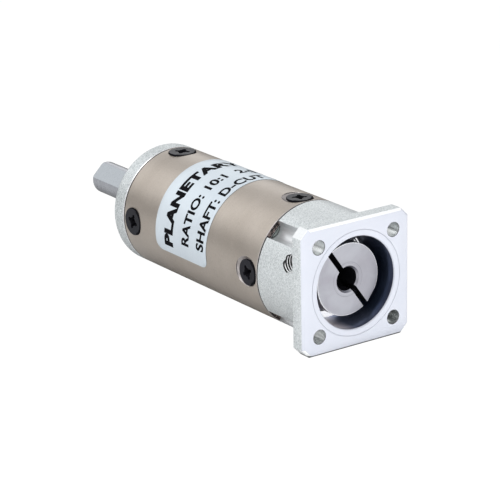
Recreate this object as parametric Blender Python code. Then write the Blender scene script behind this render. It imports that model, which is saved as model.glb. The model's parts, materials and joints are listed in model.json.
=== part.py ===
"""Two-stage planetary gearbox for a 20 mm stepper motor, body diameter 22 mm.

The gearbox axis is +X, and the output shaft leaves along +X. +Z is up. Dimensions are millimetres,
with x measured from the motor's mounting face; the objects are metres. Everything hangs from one
empty that puts the world's origin on the axis, halfway between that face and the shaft's tip.
Angles about the axis run from +Y towards +Z.
"""

import math

import bmesh
import bpy
from mathutils import Matrix

TO_METRES = 0.001
SMOOTH_ANGLE = math.radians(35)  # steeper edges are shaded sharp
OVERCUT = 1.0  # how far a cutter reaches past the surface it opens
SLIVER = 0.001  # overlap that keeps a cutter's end off a shared plane
FACE_GAP = 0.05  # axial play beside bearings and several other parts

# ---- main dimensions shared between sections -----------------------------
BODY_R = 11.0  # barrel, adapter body and cover rim
BARREL_SEAT_R = 10.0  # bores at both ends that take the spigots
SPIGOT_R = BARREL_SEAT_R - 0.05
JOINT_GAP = 0.04  # at each end of the barrel
ADAPTER_END = 12.9  # where the adapter's round body meets the barrel
BARREL_START, BARREL_END = ADAPTER_END + JOINT_GAP, 53.74
RIM_START, RIM_END = BARREL_END + JOINT_GAP, 57.1  # cover rim
JOURNAL_R = 4.0  # input hub, inside its bearing
SHAFT_R, SHAFT_END = 3.0, 77.3

# ---- bearing seats -------------------------------------------------------
BEARING_W = 4.0
INPUT_BEARING_X, REAR_BEARING_X, FRONT_BEARING_X = 8.3, 45.6, 52.05  # faces nearest the motor
INPUT_BEARING_R, OUTPUT_BEARING_R = 7.0, 6.0  # outside radii
HOUSING_FIT = 0.04  # radial gap round the outer races
COVER_BORE_R = OUTPUT_BEARING_R + HOUSING_FIT
BEARING_STOP = FRONT_BEARING_X + BEARING_W + FACE_GAP  # where the cover's bore narrows
SEAL_BORE_R = 4.6

# ---- materials -----------------------------------------------------------
for stale in list(bpy.data.objects):
    bpy.data.objects.remove(stale, do_unlink=True)


def material(name, colour, roughness, metallic):
    made = bpy.data.materials.new(name)
    made.use_nodes = True
    inputs = made.node_tree.nodes["Principled BSDF"].inputs
    inputs["Base Color"].default_value = (*colour, 1.0)
    inputs["Roughness"].default_value = roughness
    inputs["Metallic"].default_value = metallic
    return made


ALUMINIUM = material(
    "blasted_aluminium", colour=(0.72, 0.74, 0.74), roughness=0.55, metallic=0.7
)
NICKEL = material("nickel_barrel", colour=(0.45, 0.41, 0.37), roughness=0.4, metallic=0.8)
STEEL = material("ground_steel", colour=(0.56, 0.57, 0.6), roughness=0.3, metallic=1.0)
GEAR_STEEL = material("gear_steel", colour=(0.5, 0.5, 0.5), roughness=0.35, metallic=1.0)
BLACK = material("black_oxide", colour=(0.03, 0.03, 0.04), roughness=0.4, metallic=0.7)
FOIL = material("label_foil", colour=(0.75, 0.8, 0.86), roughness=0.35, metallic=0.2)
BEARING = material("bearing_steel", colour=(0.65, 0.65, 0.67), roughness=0.2, metallic=1.0)
BRASS = material("ball_cage", colour=(0.55, 0.43, 0.2), roughness=0.35, metallic=0.9)
RUBBER = material("seal_rubber", colour=(0.03, 0.03, 0.03), roughness=0.7, metallic=0.0)
SPRING = material("spring_steel", colour=(0.2, 0.2, 0.22), roughness=0.4, metallic=0.9)


# ---- frames --------------------------------------------------------------
def empty(name, parent=None):
    made = bpy.data.objects.new(name, None)
    made.parent = parent
    bpy.context.scene.collection.objects.link(made)
    return made


CENTRE = empty("gearbox_centre")
CENTRE.location = (-SHAFT_END / 2 * TO_METRES, 0, 0)
# What turns together hangs from one frame; the fixed pieces hang from the centre.
INPUT_AXIS = empty("input_axis", CENTRE)
CARRIER_AXIS = empty("carrier_axis", CENTRE)
OUTPUT_AXIS = empty("output_axis", CENTRE)
INPUT_CAGE_AXIS = empty("input_cage_axis", CENTRE)
OUTPUT_CAGE_AXIS = empty("output_cage_axis", CENTRE)


# ---- objects and Booleans ------------------------------------------------
def shade(mesh):
    mesh.shade_smooth()
    mesh.set_sharp_from_angle(angle=SMOOTH_ANGLE)


def finish(shape, name, surface=None, frame=CENTRE):
    """A bmesh in millimetres becomes an object in metres, hung from the frame."""
    bmesh.ops.remove_doubles(shape, verts=shape.verts, dist=1e-5)
    bmesh.ops.recalc_face_normals(shape, faces=shape.faces)
    bmesh.ops.scale(shape, vec=(TO_METRES,) * 3, verts=shape.verts)
    mesh = bpy.data.meshes.new(name)
    shape.to_mesh(mesh)
    shape.free()
    shade(mesh)
    obj = bpy.data.objects.new(name, mesh)
    obj.parent = frame
    bpy.context.scene.collection.objects.link(obj)
    if surface:
        mesh.materials.append(surface)
    return obj


def boolean(obj, shape, operation="DIFFERENCE"):
    """Cuts the bmesh from the object, or unites the two, and bakes the result."""
    cutter = finish(shape, "cut")
    modifier = obj.modifiers.new(operation.lower(), "BOOLEAN")
    modifier.operation = operation
    modifier.solver = "EXACT"
    modifier.object = cutter
    graph = bpy.context.evaluated_depsgraph_get()
    graph.update()
    baked = bpy.data.meshes.new_from_object(obj.evaluated_get(graph))
    obj.modifiers.clear()
    old = obj.data
    obj.data = baked
    baked.name = obj.name
    bpy.data.meshes.remove(old)
    bpy.data.objects.remove(cutter, do_unlink=True)
    shade(baked)


# ---- shapes, as bmeshes --------------------------------------------------
def turned(profile, steps, axis="X"):
    """Spins a closed profile of (place along the axis, radius) points about X or Z."""
    shape = bmesh.new()
    if axis == "X":
        verts = [shape.verts.new((along, 0.0, radius)) for along, radius in profile]
    else:
        verts = [shape.verts.new((radius, 0.0, along)) for along, radius in profile]
    edges = []
    for i in range(len(verts)):
        j = (i + 1) % len(verts)
        if profile[i][1] != 0 or profile[j][1] != 0:  # an edge on the axis sweeps nothing
            edges.append(shape.edges.new((verts[i], verts[j])))
    bmesh.ops.spin(
        shape,
        geom=verts + edges,
        cent=(0, 0, 0),
        axis=(1, 0, 0) if axis == "X" else (0, 0, 1),
        dvec=(0, 0, 0),
        angle=2 * math.pi,
        steps=steps,
        use_merge=True,
    )
    bmesh.ops.remove_doubles(shape, verts=shape.verts, dist=1e-5)
    return shape


def tube(start, end, inner_r, outer_r, steps):
    """A plain ring about the X axis."""
    return turned([(start, inner_r), (start, outer_r), (end, outer_r), (end, inner_r)], steps)


def circle_points(radius, steps, middle=(0.0, 0.0)):
    angles = [2 * math.pi * k / steps for k in range(steps)]
    return [
        (middle[0] + radius * math.cos(angle), middle[1] + radius * math.sin(angle))
        for angle in angles
    ]


def prism(loops, start, end):
    """Fills the (y, z) loops, the later ones being holes, and extrudes them along X."""
    shape = bmesh.new()
    edges = []
    for loop in loops:
        verts = [shape.verts.new((start, y, z)) for y, z in loop]
        edges += [
            shape.edges.new((verts[i], verts[(i + 1) % len(verts)])) for i in range(len(verts))
        ]
    bmesh.ops.triangle_fill(shape, use_beauty=True, edges=edges)
    out = bmesh.ops.extrude_face_region(shape, geom=list(shape.faces))
    moved = [part for part in out["geom"] if isinstance(part, bmesh.types.BMVert)]
    bmesh.ops.translate(shape, vec=(end - start, 0, 0), verts=moved)
    return shape


def peg(radius, steps, start, end, middle=(0.0, 0.0)):
    """A cylinder along X about the (y, z) middle."""
    return prism([circle_points(radius, steps, middle)], start, end)


def bar(radius, start, end, steps):
    """A cylinder along +Z from start to end."""
    shape = bmesh.new()
    bmesh.ops.create_cone(
        shape,
        cap_ends=True,
        cap_tris=False,
        segments=steps,
        radius1=radius,
        radius2=radius,
        depth=end - start,
    )
    bmesh.ops.translate(shape, vec=(0, 0, (start + end) / 2), verts=shape.verts)
    return shape


def block(low, high):
    """A box between two opposite corners."""
    shape = bmesh.new()
    bmesh.ops.create_cube(shape, size=1.0)
    size = [top - bottom for bottom, top in zip(low, high)]
    middle = [(bottom + top) / 2 for bottom, top in zip(low, high)]
    bmesh.ops.scale(shape, vec=size, verts=shape.verts)
    bmesh.ops.translate(shape, vec=middle, verts=shape.verts)
    return shape


def joined(parts):
    """Several bmeshes become one, for a cutter of separate bodies."""
    shape = bmesh.new()
    for part in parts:
        bmesh.ops.recalc_face_normals(part, faces=part.faces)
        scratch = bpy.data.meshes.new("scratch")
        part.to_mesh(scratch)
        part.free()
        shape.from_mesh(scratch)
        bpy.data.meshes.remove(scratch)
    return shape


def transformed(shape, matrix):
    bmesh.ops.transform(shape, matrix=matrix, verts=shape.verts)
    return shape


def about_x(angle):
    return Matrix.Rotation(math.radians(angle), 4, "X")


# ---- countersunk screws and their holes ----------------------------------
# Heights are measured from the gearbox axis along each radial screw.
COVER_SCREW_X, ADAPTER_SCREW_X = 50.75, 15.5
SCREW_ANGLES = (90.0, 0.0, 270.0, 180.0)
SCREW_STEPS = 14
HEAD_R, SHANK_R = 2.45, 1.25
HEAD_TOP, SHANK_TIP = BODY_R + 0.05, 6.75
HEAD_SIDE = 0.3  # height of the head's straight edge above its cone
CONE_TOP = HEAD_TOP - HEAD_SIDE
NECK = CONE_TOP - (HEAD_R - SHANK_R)  # foot of the 45 degree cone
HEAD_EASE, TIP_CHAMFER = 0.08, 0.3
RECESS_ARM, RECESS_HALF_W, RECESS_DEPTH = 1.3, 0.28, 0.8
SCREW_GAP = 0.05
HEAD_HOLE_R, TIP_GAP = HEAD_R + 0.1, 0.15
SCREW_HOLE_TOP = 12.5  # clear of the body


def screw_space(x):
    """Countersunk holes for the four radial screws at this x."""
    shank_hole_r = SHANK_R + SCREW_GAP
    profile = [
        (SHANK_TIP - TIP_GAP, 0.0), (SHANK_TIP - TIP_GAP, shank_hole_r),
        (NECK - SCREW_GAP, shank_hole_r), (CONE_TOP, HEAD_HOLE_R),
        (SCREW_HOLE_TOP, HEAD_HOLE_R), (SCREW_HOLE_TOP, 0.0),
    ]
    return joined(
        [
            transformed(
                turned(profile, SCREW_STEPS, "Z"),
                Matrix.Translation((x, 0, 0)) @ about_x(angle - 90.0),
            )
            for angle in SCREW_ANGLES
        ]
    )


def screw_mesh():
    """One countersunk screw along +Z, with a cross recess in its head."""
    profile = [
        (SHANK_TIP, 0.0), (SHANK_TIP, SHANK_R - TIP_CHAMFER), (SHANK_TIP + TIP_CHAMFER, SHANK_R),
        (NECK, SHANK_R), (CONE_TOP, HEAD_R), (HEAD_TOP - HEAD_EASE, HEAD_R),
        (HEAD_TOP, HEAD_R - HEAD_EASE), (HEAD_TOP, 0.0),
    ]
    screw = finish(turned(profile, SCREW_STEPS, "Z"), "screw_pattern", BLACK)
    arm, width = RECESS_ARM, RECESS_HALF_W
    cross = [
        (arm, -width), (arm, width), (width, width), (width, arm), (-width, arm), (-width, width),
        (-arm, width), (-arm, -width), (-width, -width), (-width, -arm), (width, -arm),
        (width, -width),
    ]
    recess = prism([cross], HEAD_TOP - RECESS_DEPTH, HEAD_TOP + OVERCUT)
    x_to_z = Matrix.Rotation(math.radians(-90), 4, "Y")
    boolean(screw, transformed(recess, x_to_z))
    mesh = screw.data
    bpy.data.objects.remove(screw, do_unlink=True)
    return mesh


def make_screws():
    """Eight screws that share one mesh."""
    mesh = screw_mesh()
    for label, x in (("cover_screw", COVER_SCREW_X), ("adapter_screw", ADAPTER_SCREW_X)):
        for number, angle in enumerate(SCREW_ANGLES, 1):
            screw = bpy.data.objects.new(f"{label}_{number}", mesh)
            screw.location = (x * TO_METRES, 0, 0)
            screw.rotation_euler = (math.radians(angle - 90.0), 0, 0)
            screw.parent = CENTRE
            bpy.context.scene.collection.objects.link(screw)


# ---- gear train ----------------------------------------------------------
MODULE = 0.4
SUN_TEETH, PLANET_TEETH = 21, 12
RING_TEETH = SUN_TEETH + 2 * PLANET_TEETH
PRESSURE = math.radians(20)
ADDENDUM, DEDENDUM = 0.8 * MODULE, 1.1 * MODULE
BACKLASH = 0.11  # taken off each tooth, and added to each ring space, at the pitch circle
PITCH = math.pi * MODULE
TOOTH = PITCH / 2 - BACKLASH
RING_SPACE = PITCH / 2 + BACKLASH
SUN_R, PLANET_R, RING_R = (
    MODULE * teeth / 2 for teeth in (SUN_TEETH, PLANET_TEETH, RING_TEETH)
)  # pitch radii
RING_TIP_R = 8.76  # ring teeth are stubbed so that they clear the planets' roots
SUN_PHASE = math.radians(90.0)
ORBIT_R = SUN_R + PLANET_R
PLANET_ANGLES = (90.0, 210.0, 330.0)


def involute(angle):
    return math.tan(angle) - angle


def gear_outline(teeth, tip_r, root_r, thickness, phase):
    """Involute gear points: teeth this thick at the pitch circle, one centred at angle phase."""
    pitch_r = MODULE * teeth / 2
    base_r = pitch_r * math.cos(PRESSURE)

    def half_angle(radius):
        at = math.acos(min(1.0, base_r / radius)) if radius > base_r else 0.0
        return thickness / (2 * pitch_r) + involute(PRESSURE) - involute(at)

    radii = [max(base_r, root_r), tip_r]
    if root_r < base_r - 1e-6:
        radii = [root_r] + radii
    side = [(radius, half_angle(radius)) for radius in radii]
    points = []
    for k in range(teeth):
        middle = phase + 2 * math.pi * k / teeth
        points += [(radius, middle - half) for radius, half in side]
        points += [(radius, middle + half) for radius, half in reversed(side)]
    return [(radius * math.cos(angle), radius * math.sin(angle)) for radius, angle in points]


def planet_phase(angle):
    """Tooth angle that puts a planet at this orbit angle in mesh with the sun."""
    offset = 0.5 - (SUN_PHASE - angle) * SUN_TEETH / (2 * math.pi)
    return angle + math.pi + offset * 2 * math.pi / PLANET_TEETH


def ring_phase():
    """Angle of a ring tooth space, in mesh with the first planet's outer tooth."""
    angle = math.radians(PLANET_ANGLES[0])
    return angle + (planet_phase(angle) - angle) * PLANET_TEETH / RING_TEETH


def orbit(angle):
    """The (y, z) place of a planet's axis."""
    return (
        ORBIT_R * math.cos(math.radians(angle)),
        ORBIT_R * math.sin(math.radians(angle)),
    )


SUN_OUTLINE = gear_outline(SUN_TEETH, SUN_R + ADDENDUM, SUN_R - DEDENDUM, TOOTH, SUN_PHASE)

# ---- motor adapter -------------------------------------------------------
HOUSING_STEPS = 40  # round steps of the adapter, barrel and cover
FLANGE = 22.1  # square motor flange, side
FLANGE_T = 2.8
FLANGE_BEVEL = 0.4  # around its face at x = 0
FLANGE_CHAMFER = 1.5  # cut corners of the square
BOLT_HOLE_R = 1.2
BOLT_HOLE_OVERRUN = 0.4  # past the flange
BOLT_CHANNEL_R = 1.7  # half-round channels that clear the bolt heads
BOLT_OFFSET = 15.4 / 2  # half the side of the motor bolt square
BOLT_PLACES = [(y, z) for z in (BOLT_OFFSET, -BOLT_OFFSET) for y in (BOLT_OFFSET, -BOLT_OFFSET)]
PILOT_R, PILOT_END = 8.0, 8.0  # bore that takes the motor's pilot
ACCESS_HOLE_X, ACCESS_HOLE_Z, ACCESS_HOLE_R = 4.7, 4.2, 1.3
ACCESS_HOLE_Y = (5.0, 13.0)
ADAPTER_SPIGOT_END = 18.4
SPIGOT_CHAMFER = 0.3
ADAPTER_SEAT_R = INPUT_BEARING_R + HOUSING_FIT
ADAPTER_SEAT_END = INPUT_BEARING_X + BEARING_W + FACE_GAP
ADAPTER_BORE_R = 6.2  # beyond the bearing seat
ADAPTER_PROFILE = [  # x, radius; the first points are buried in the flange
    (0.3, 7.4), (0.3, 10.4), (2.0, 10.4), (2.0, BODY_R), (ADAPTER_END, BODY_R),
    (ADAPTER_END, SPIGOT_R), (ADAPTER_SPIGOT_END - SPIGOT_CHAMFER, SPIGOT_R),
    (ADAPTER_SPIGOT_END, SPIGOT_R - SPIGOT_CHAMFER), (ADAPTER_SPIGOT_END, ADAPTER_BORE_R),
    (ADAPTER_SEAT_END, ADAPTER_BORE_R), (ADAPTER_SEAT_END, ADAPTER_SEAT_R),
    (PILOT_END, ADAPTER_SEAT_R), (PILOT_END, 7.4),
]


def flange_ring(x, inset):
    """The flange's outline at this x, moved inwards by the inset."""
    half = FLANGE / 2 - inset
    near = half - (FLANGE_CHAMFER - inset * (2 - math.sqrt(2)))  # where the cut corner starts
    return [
        (x, half, near), (x, near, half), (x, -near, half), (x, -half, near),
        (x, -half, -near), (x, -near, -half), (x, near, -half), (x, half, -near),
    ]


def flange_plate():
    shape = bmesh.new()
    stations = [(0.0, FLANGE_BEVEL), (FLANGE_BEVEL, 0.0), (FLANGE_T, 0.0)]  # x, inset
    loops = [
        [shape.verts.new(point) for point in flange_ring(x, inset)] for x, inset in stations
    ]
    for near, far in zip(loops, loops[1:]):
        for i in range(8):
            j = (i + 1) % 8
            shape.faces.new((near[i], near[j], far[j], far[i]))
    shape.faces.new(loops[0])
    shape.faces.new(loops[-1])
    return shape


def make_adapter():
    adapter = finish(turned(ADAPTER_PROFILE, HOUSING_STEPS), "motor_adapter", ALUMINIUM)
    boolean(adapter, flange_plate(), "UNION")
    pilot = [(-OVERCUT, 0.0), (-OVERCUT, PILOT_R), (PILOT_END, PILOT_R), (PILOT_END, 0.0)]
    bolt_holes = [
        peg(BOLT_HOLE_R, 12, -OVERCUT, FLANGE_T + BOLT_HOLE_OVERRUN, place)
        for place in BOLT_PLACES
    ]
    boolean(adapter, joined([turned(pilot, HOUSING_STEPS)] + bolt_holes))
    channels = [
        peg(BOLT_CHANNEL_R, 16, FLANGE_T, ADAPTER_END + SLIVER, place) for place in BOLT_PLACES
    ]
    # The access hole opens on the +Y side.
    access = transformed(
        bar(ACCESS_HOLE_R, *ACCESS_HOLE_Y, 12),
        Matrix.Translation((ACCESS_HOLE_X, 0, ACCESS_HOLE_Z)) @ about_x(-90),
    )
    boolean(adapter, joined(channels + [access]))
    boolean(adapter, screw_space(ADAPTER_SCREW_X))


# ---- barrel with the ring gear cut inside --------------------------------
TEETH_START, TEETH_END = 18.8, 45.3
TEETH_CUT = (18.0, 46.0)  # the cutter's ends, clear of the teeth
TEETH_BLANK_R = 8.0
BARREL_CHAMFER = 0.15


def make_barrel():
    chamfer_r = BODY_R - BARREL_CHAMFER
    profile = [
        (BARREL_START, BARREL_SEAT_R), (BARREL_START, chamfer_r),
        (BARREL_START + BARREL_CHAMFER, BODY_R), (BARREL_END - BARREL_CHAMFER, BODY_R),
        (BARREL_END, chamfer_r), (BARREL_END, BARREL_SEAT_R), (TEETH_END, BARREL_SEAT_R),
        (TEETH_END, TEETH_BLANK_R), (TEETH_START, TEETH_BLANK_R), (TEETH_START, BARREL_SEAT_R),
    ]
    barrel = finish(turned(profile, HOUSING_STEPS), "ring_gear_barrel", NICKEL)
    # The cutter is a gear whose teeth are the ring's tooth spaces.
    spaces = gear_outline(RING_TEETH, RING_R + DEDENDUM, RING_TIP_R, RING_SPACE, ring_phase())
    boolean(barrel, prism([spaces], *TEETH_CUT))
    boolean(barrel, screw_space(COVER_SCREW_X))
    boolean(barrel, screw_space(ADAPTER_SCREW_X))


# ---- output cover --------------------------------------------------------
COVER_START = TEETH_END + FACE_GAP
BOSS_R, BOSS_END, BOSS_CHAMFER = 6.0, 59.1, 0.2
RIM_CHAMFER = 0.3
COVER_HOLE_R, COVER_HOLE_PITCH_R, COVER_HOLE_DEPTH = 1.05, 8.0, 4.0
COVER_HOLE_ANGLES = (45, 135, 225, 315)


def make_cover():
    profile = [
        (COVER_START, COVER_BORE_R), (COVER_START, SPIGOT_R - SPIGOT_CHAMFER),
        (COVER_START + SPIGOT_CHAMFER, SPIGOT_R), (RIM_START, SPIGOT_R), (RIM_START, BODY_R),
        (RIM_END - RIM_CHAMFER, BODY_R), (RIM_END, BODY_R - RIM_CHAMFER), (RIM_END, BOSS_R),
        (BOSS_END - BOSS_CHAMFER, BOSS_R), (BOSS_END, BOSS_R - BOSS_CHAMFER),
        (BOSS_END, SEAL_BORE_R), (BEARING_STOP, SEAL_BORE_R), (BEARING_STOP, COVER_BORE_R),
    ]
    cover = finish(turned(profile, HOUSING_STEPS), "output_cover", ALUMINIUM)
    boolean(cover, screw_space(COVER_SCREW_X))
    holes = []
    for degrees in COVER_HOLE_ANGLES:
        angle = math.radians(degrees)
        place = (COVER_HOLE_PITCH_R * math.cos(angle), COVER_HOLE_PITCH_R * math.sin(angle))
        holes.append(
            peg(COVER_HOLE_R, 10, RIM_END - COVER_HOLE_DEPTH, RIM_END + OVERCUT, place)
        )
    boolean(cover, joined(holes))


# ---- label ---------------------------------------------------------------
LABEL_X = (27.75, 43.3)
LABEL_ANGLES = (-15.0, 190.0)
LABEL_R = (BODY_R + 0.03, BODY_R + 0.13)  # inner and outer faces
LABEL_CORNER = 1.5  # corner radius
LABEL_CORNER_STEPS = 4
LABEL_STEPS = 40  # round the whole arc
LABEL_END_STEPS = 3  # steps at each end that give way to the corners' own


def label_levels():
    """Arc lengths of the label's rows: close in the rounded corners, even between them."""
    low, high = (math.radians(angle) * BODY_R for angle in LABEL_ANGLES)
    levels = set()
    for k in range(LABEL_CORNER_STEPS + 1):
        rise = LABEL_CORNER * (1 - math.sin(math.pi / 2 * k / LABEL_CORNER_STEPS))
        levels |= {round(low + rise, 6), round(high - rise, 6)}
    for k in range(LABEL_END_STEPS, LABEL_STEPS - LABEL_END_STEPS + 1):
        levels.add(round(low + (high - low) * k / LABEL_STEPS, 6))
    return sorted(levels)


def make_label():
    """A thin sheet wrapped on the barrel, one row of two points per face at each level."""
    levels = label_levels()

    def span(level):
        """The row's two x values, drawn in at the rounded corners."""
        edge = min(level - levels[0], levels[-1] - level)
        if edge >= LABEL_CORNER:
            return LABEL_X
        inset = LABEL_CORNER - math.sqrt(LABEL_CORNER**2 - (LABEL_CORNER - edge) ** 2)
        return LABEL_X[0] + inset, LABEL_X[1] - inset

    shape = bmesh.new()
    sheets = []
    for radius in LABEL_R:
        rows = []
        for level in levels:
            angle = level / BODY_R
            y, z = radius * math.cos(angle), radius * math.sin(angle)
            rows.append([shape.verts.new((x, y, z)) for x in span(level)])
        sheets.append(rows)
    inner, outer = sheets
    for i in range(len(levels) - 1):
        j = i + 1
        shape.faces.new((outer[i][0], outer[i][1], outer[j][1], outer[j][0]))
        shape.faces.new((inner[i][1], inner[i][0], inner[j][0], inner[j][1]))
        for side in (0, 1):
            shape.faces.new((inner[i][side], outer[i][side], outer[j][side], inner[j][side]))
    for i in (0, len(levels) - 1):
        shape.faces.new((inner[i][0], inner[i][1], outer[i][1], outer[i][0]))
    finish(shape, "rating_label", FOIL)


# ---- input hub and clamp screw -------------------------------------------
HUB_FACE, HUB_END, HUB_R, HUB_EASE = 2.35, 7.7, 6.3, 0.1
HUB_BORE_R, HUB_BORE_END, HUB_BORE_CHAMFER = 2.05, 15.4, 0.3
COLLAR_R, COLLAR_END = 4.8, INPUT_BEARING_X - FACE_GAP  # step against the bearing
HUB_GROOVE_R, HUB_GROOVE_X = 3.6, (12.5, 13.1)  # for the circlip
JOURNAL_END = 13.6
NOSE_R, NOSE_END = 2.75, 27.45
HUB_SLOT_W, HUB_SLOT_END = 1.0, 7.2
SLOT_ANGLE = 54.4  # direction of the slot across the hub
HUB_FLAT_ANGLE, HUB_FLAT_DIST = -143.2, 6.146
CUTTER_REACH = 8  # past the hub's side

# Clamp screw: places are along its own line, measured from the slot's middle plane.
CLAMP_OFFSET = 4.2  # distance from the hub's axis
CLAMP_HEAD_R, CLAMP_HEAD = 1.9, (1.85, 3.85)
CLAMP_SHANK_R, CLAMP_SHANK = 0.98, (-4.0, 2.5)
CLAMP_SOCKET_R, CLAMP_SOCKET = 0.85, (2.7, 5.0)
CLAMP_HOLE_R, CLAMP_HOLE = 1.05, (-8.0, 1.8)
CLAMP_POCKET_R, CLAMP_POCKET = CLAMP_HEAD_R + 0.1, (1.75, 8.0)

# In the hub's own directions +Y runs along the slot towards the clamp screw, and -Z is the
# screw head's side.
HUB_TURN = about_x(SLOT_ANGLE + 180.0)
CLAMP_LINE = HUB_TURN @ Matrix.Translation((ACCESS_HOLE_X, CLAMP_OFFSET, 0)) @ about_x(180.0)


def clamp_bar(radius, span, steps):
    return transformed(bar(radius, *span, steps), CLAMP_LINE)


def make_hub():
    groove_start, groove_end = HUB_GROOVE_X
    profile = [
        (HUB_FACE, HUB_BORE_R + HUB_BORE_CHAMFER), (HUB_FACE, HUB_R - HUB_EASE),
        (HUB_FACE + HUB_EASE, HUB_R), (HUB_END, HUB_R), (HUB_END, COLLAR_R),
        (COLLAR_END, COLLAR_R), (COLLAR_END, JOURNAL_R), (groove_start, JOURNAL_R),
        (groove_start, HUB_GROOVE_R), (groove_end, HUB_GROOVE_R), (groove_end, JOURNAL_R),
        (JOURNAL_END, JOURNAL_R), (JOURNAL_END, NOSE_R), (NOSE_END, NOSE_R), (NOSE_END, 0.0),
        (HUB_BORE_END, 0.0), (HUB_BORE_END, HUB_BORE_R),
        (HUB_FACE + HUB_BORE_CHAMFER, HUB_BORE_R),
    ]
    hub = finish(turned(profile, 28), "input_hub", STEEL, INPUT_AXIS)
    slot = block(
        (HUB_FACE - OVERCUT, -CUTTER_REACH, -HUB_SLOT_W / 2),
        (HUB_SLOT_END, CUTTER_REACH, HUB_SLOT_W / 2),
    )
    boolean(hub, transformed(slot, HUB_TURN))
    hole = clamp_bar(CLAMP_HOLE_R, CLAMP_HOLE, 16)
    pocket = clamp_bar(CLAMP_POCKET_R, CLAMP_POCKET, 20)
    boolean(hub, joined([hole, pocket]))
    flat = block(
        (HUB_FACE - OVERCUT, HUB_FLAT_DIST, -4), (HUB_END + SLIVER, CUTTER_REACH, 4)
    )
    boolean(hub, transformed(flat, about_x(HUB_FLAT_ANGLE)))


def make_clamp_screw():
    head = clamp_bar(CLAMP_HEAD_R, CLAMP_HEAD, 20)
    clamp = finish(head, "clamp_screw", BLACK, INPUT_AXIS)
    boolean(clamp, clamp_bar(CLAMP_SHANK_R, CLAMP_SHANK, 16), "UNION")
    boolean(clamp, clamp_bar(CLAMP_SOCKET_R, CLAMP_SOCKET, 6))


# ---- ball bearings, spacer and circlips ----------------------------------
BEARING_STEPS = 24
BALL_R, GROOVE_R = 0.78, 0.87
LIP_OFFSET = 0.6  # race lips from the ball circle
CAGE_HALF_T, CAGE_BACK, CAGE_FRONT = 0.3, 0.95, 0.2  # back and front from the balls' plane
BORE_FIT = 0.015  # least gap between the inner race's facets and its bore radius
CIRCLIP_HALF_GAP = 14.0  # degrees
CIRCLIP_STEPS = 20


def groove(centre_x, centre_r, lip_r):
    """Three points of a ball groove, ending where it meets the lip radius."""
    offset = lip_r - centre_r
    reach = math.sqrt(GROOVE_R**2 - offset**2)
    start, end = math.atan2(offset, -reach), math.atan2(offset, reach)
    return [
        (centre_x + GROOVE_R * math.cos(angle), centre_r + GROOVE_R * math.sin(angle))
        for angle in (start, (start + end) / 2, end)
    ]


def make_bearing(name, start, bore_r, outer_r, balls, frame, cage_frame):
    end = start + BEARING_W
    mid, pitch_r = (start + end) / 2, (bore_r + outer_r) / 2
    fit_r = (bore_r + BORE_FIT) / math.cos(math.pi / BEARING_STEPS)
    for part, wall_r, lip_r, race_frame in (
        ("outer_race", outer_r, pitch_r + LIP_OFFSET, CENTRE),
        ("inner_race", fit_r, pitch_r - LIP_OFFSET, frame),
    ):
        profile = [(end, lip_r), (end, wall_r), (start, wall_r), (start, lip_r)]
        profile += groove(mid, pitch_r, lip_r)
        finish(turned(profile, BEARING_STEPS), f"{name}_{part}", BEARING, race_frame)

    cage_shape = tube(
        mid - CAGE_BACK, mid + CAGE_FRONT, pitch_r - CAGE_HALF_T, pitch_r + CAGE_HALF_T,
        BEARING_STEPS,
    )
    cage = finish(cage_shape, f"{name}_balls_and_cage", BRASS, cage_frame)
    spheres = []
    for y, z in circle_points(pitch_r, balls):
        ball = bmesh.new()
        bmesh.ops.create_uvsphere(ball, u_segments=6, v_segments=4, radius=BALL_R)
        spheres.append(transformed(ball, Matrix.Translation((mid, y, z))))
    boolean(cage, joined(spheres), "UNION")


def make_bearings():
    make_bearing(
        "input_bearing", INPUT_BEARING_X, JOURNAL_R, INPUT_BEARING_R, 9,
        INPUT_AXIS, INPUT_CAGE_AXIS,
    )
    for name, x in (("rear_bearing", REAR_BEARING_X), ("front_bearing", FRONT_BEARING_X)):
        make_bearing(name, x, SHAFT_R, OUTPUT_BEARING_R, 8, OUTPUT_AXIS, OUTPUT_CAGE_AXIS)
    spacer = tube(
        REAR_BEARING_X + BEARING_W + FACE_GAP, FRONT_BEARING_X - FACE_GAP, 5.2, 5.94,
        BEARING_STEPS,
    )
    finish(spacer, "bearing_spacer", STEEL)


def make_circlip(name, start, end, inner_r, outer_r, frame):
    """An open ring without eyes, its gap centred on -Z."""
    first, last = -90.0 + CIRCLIP_HALF_GAP, 270.0 - CIRCLIP_HALF_GAP
    angles = [
        math.radians(first + (last - first) * k / CIRCLIP_STEPS)
        for k in range(CIRCLIP_STEPS + 1)
    ]
    loop = [(outer_r * math.cos(angle), outer_r * math.sin(angle)) for angle in angles]
    loop += [
        (inner_r * math.cos(angle), inner_r * math.sin(angle)) for angle in reversed(angles)
    ]
    finish(prism([loop], start, end), name, SPRING, frame)


# ---- planets, carriers and suns ------------------------------------------
PIN_R, PIN_GAP, PLANET_GAP, PIN_CHAMFER = 0.8, 0.02, 0.05, 0.12
PIN_STEPS = 12
CARRIER_R = 8.3
PLANET_1, CARRIER_1 = (18.95, 27.4), (27.8, 30.2)  # x spans
PLANET_2, CARRIER_2 = (31.0, 40.0), (40.4, 43.8)
SUN_1_START, SUN_2_START = 18.9, 30.75
SUN_BORE_GAP = 0.03
STEM_R, STEM_END, STEM_GAP = 2.0, 31.5, 0.03  # second sun's stem, in the first carrier
SUN_COLLAR_R, SUN_COLLAR_END = 3.4, 31.0


def pin_hole(angle):
    return circle_points(PIN_R + PIN_GAP, PIN_STEPS, orbit(angle))


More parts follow.
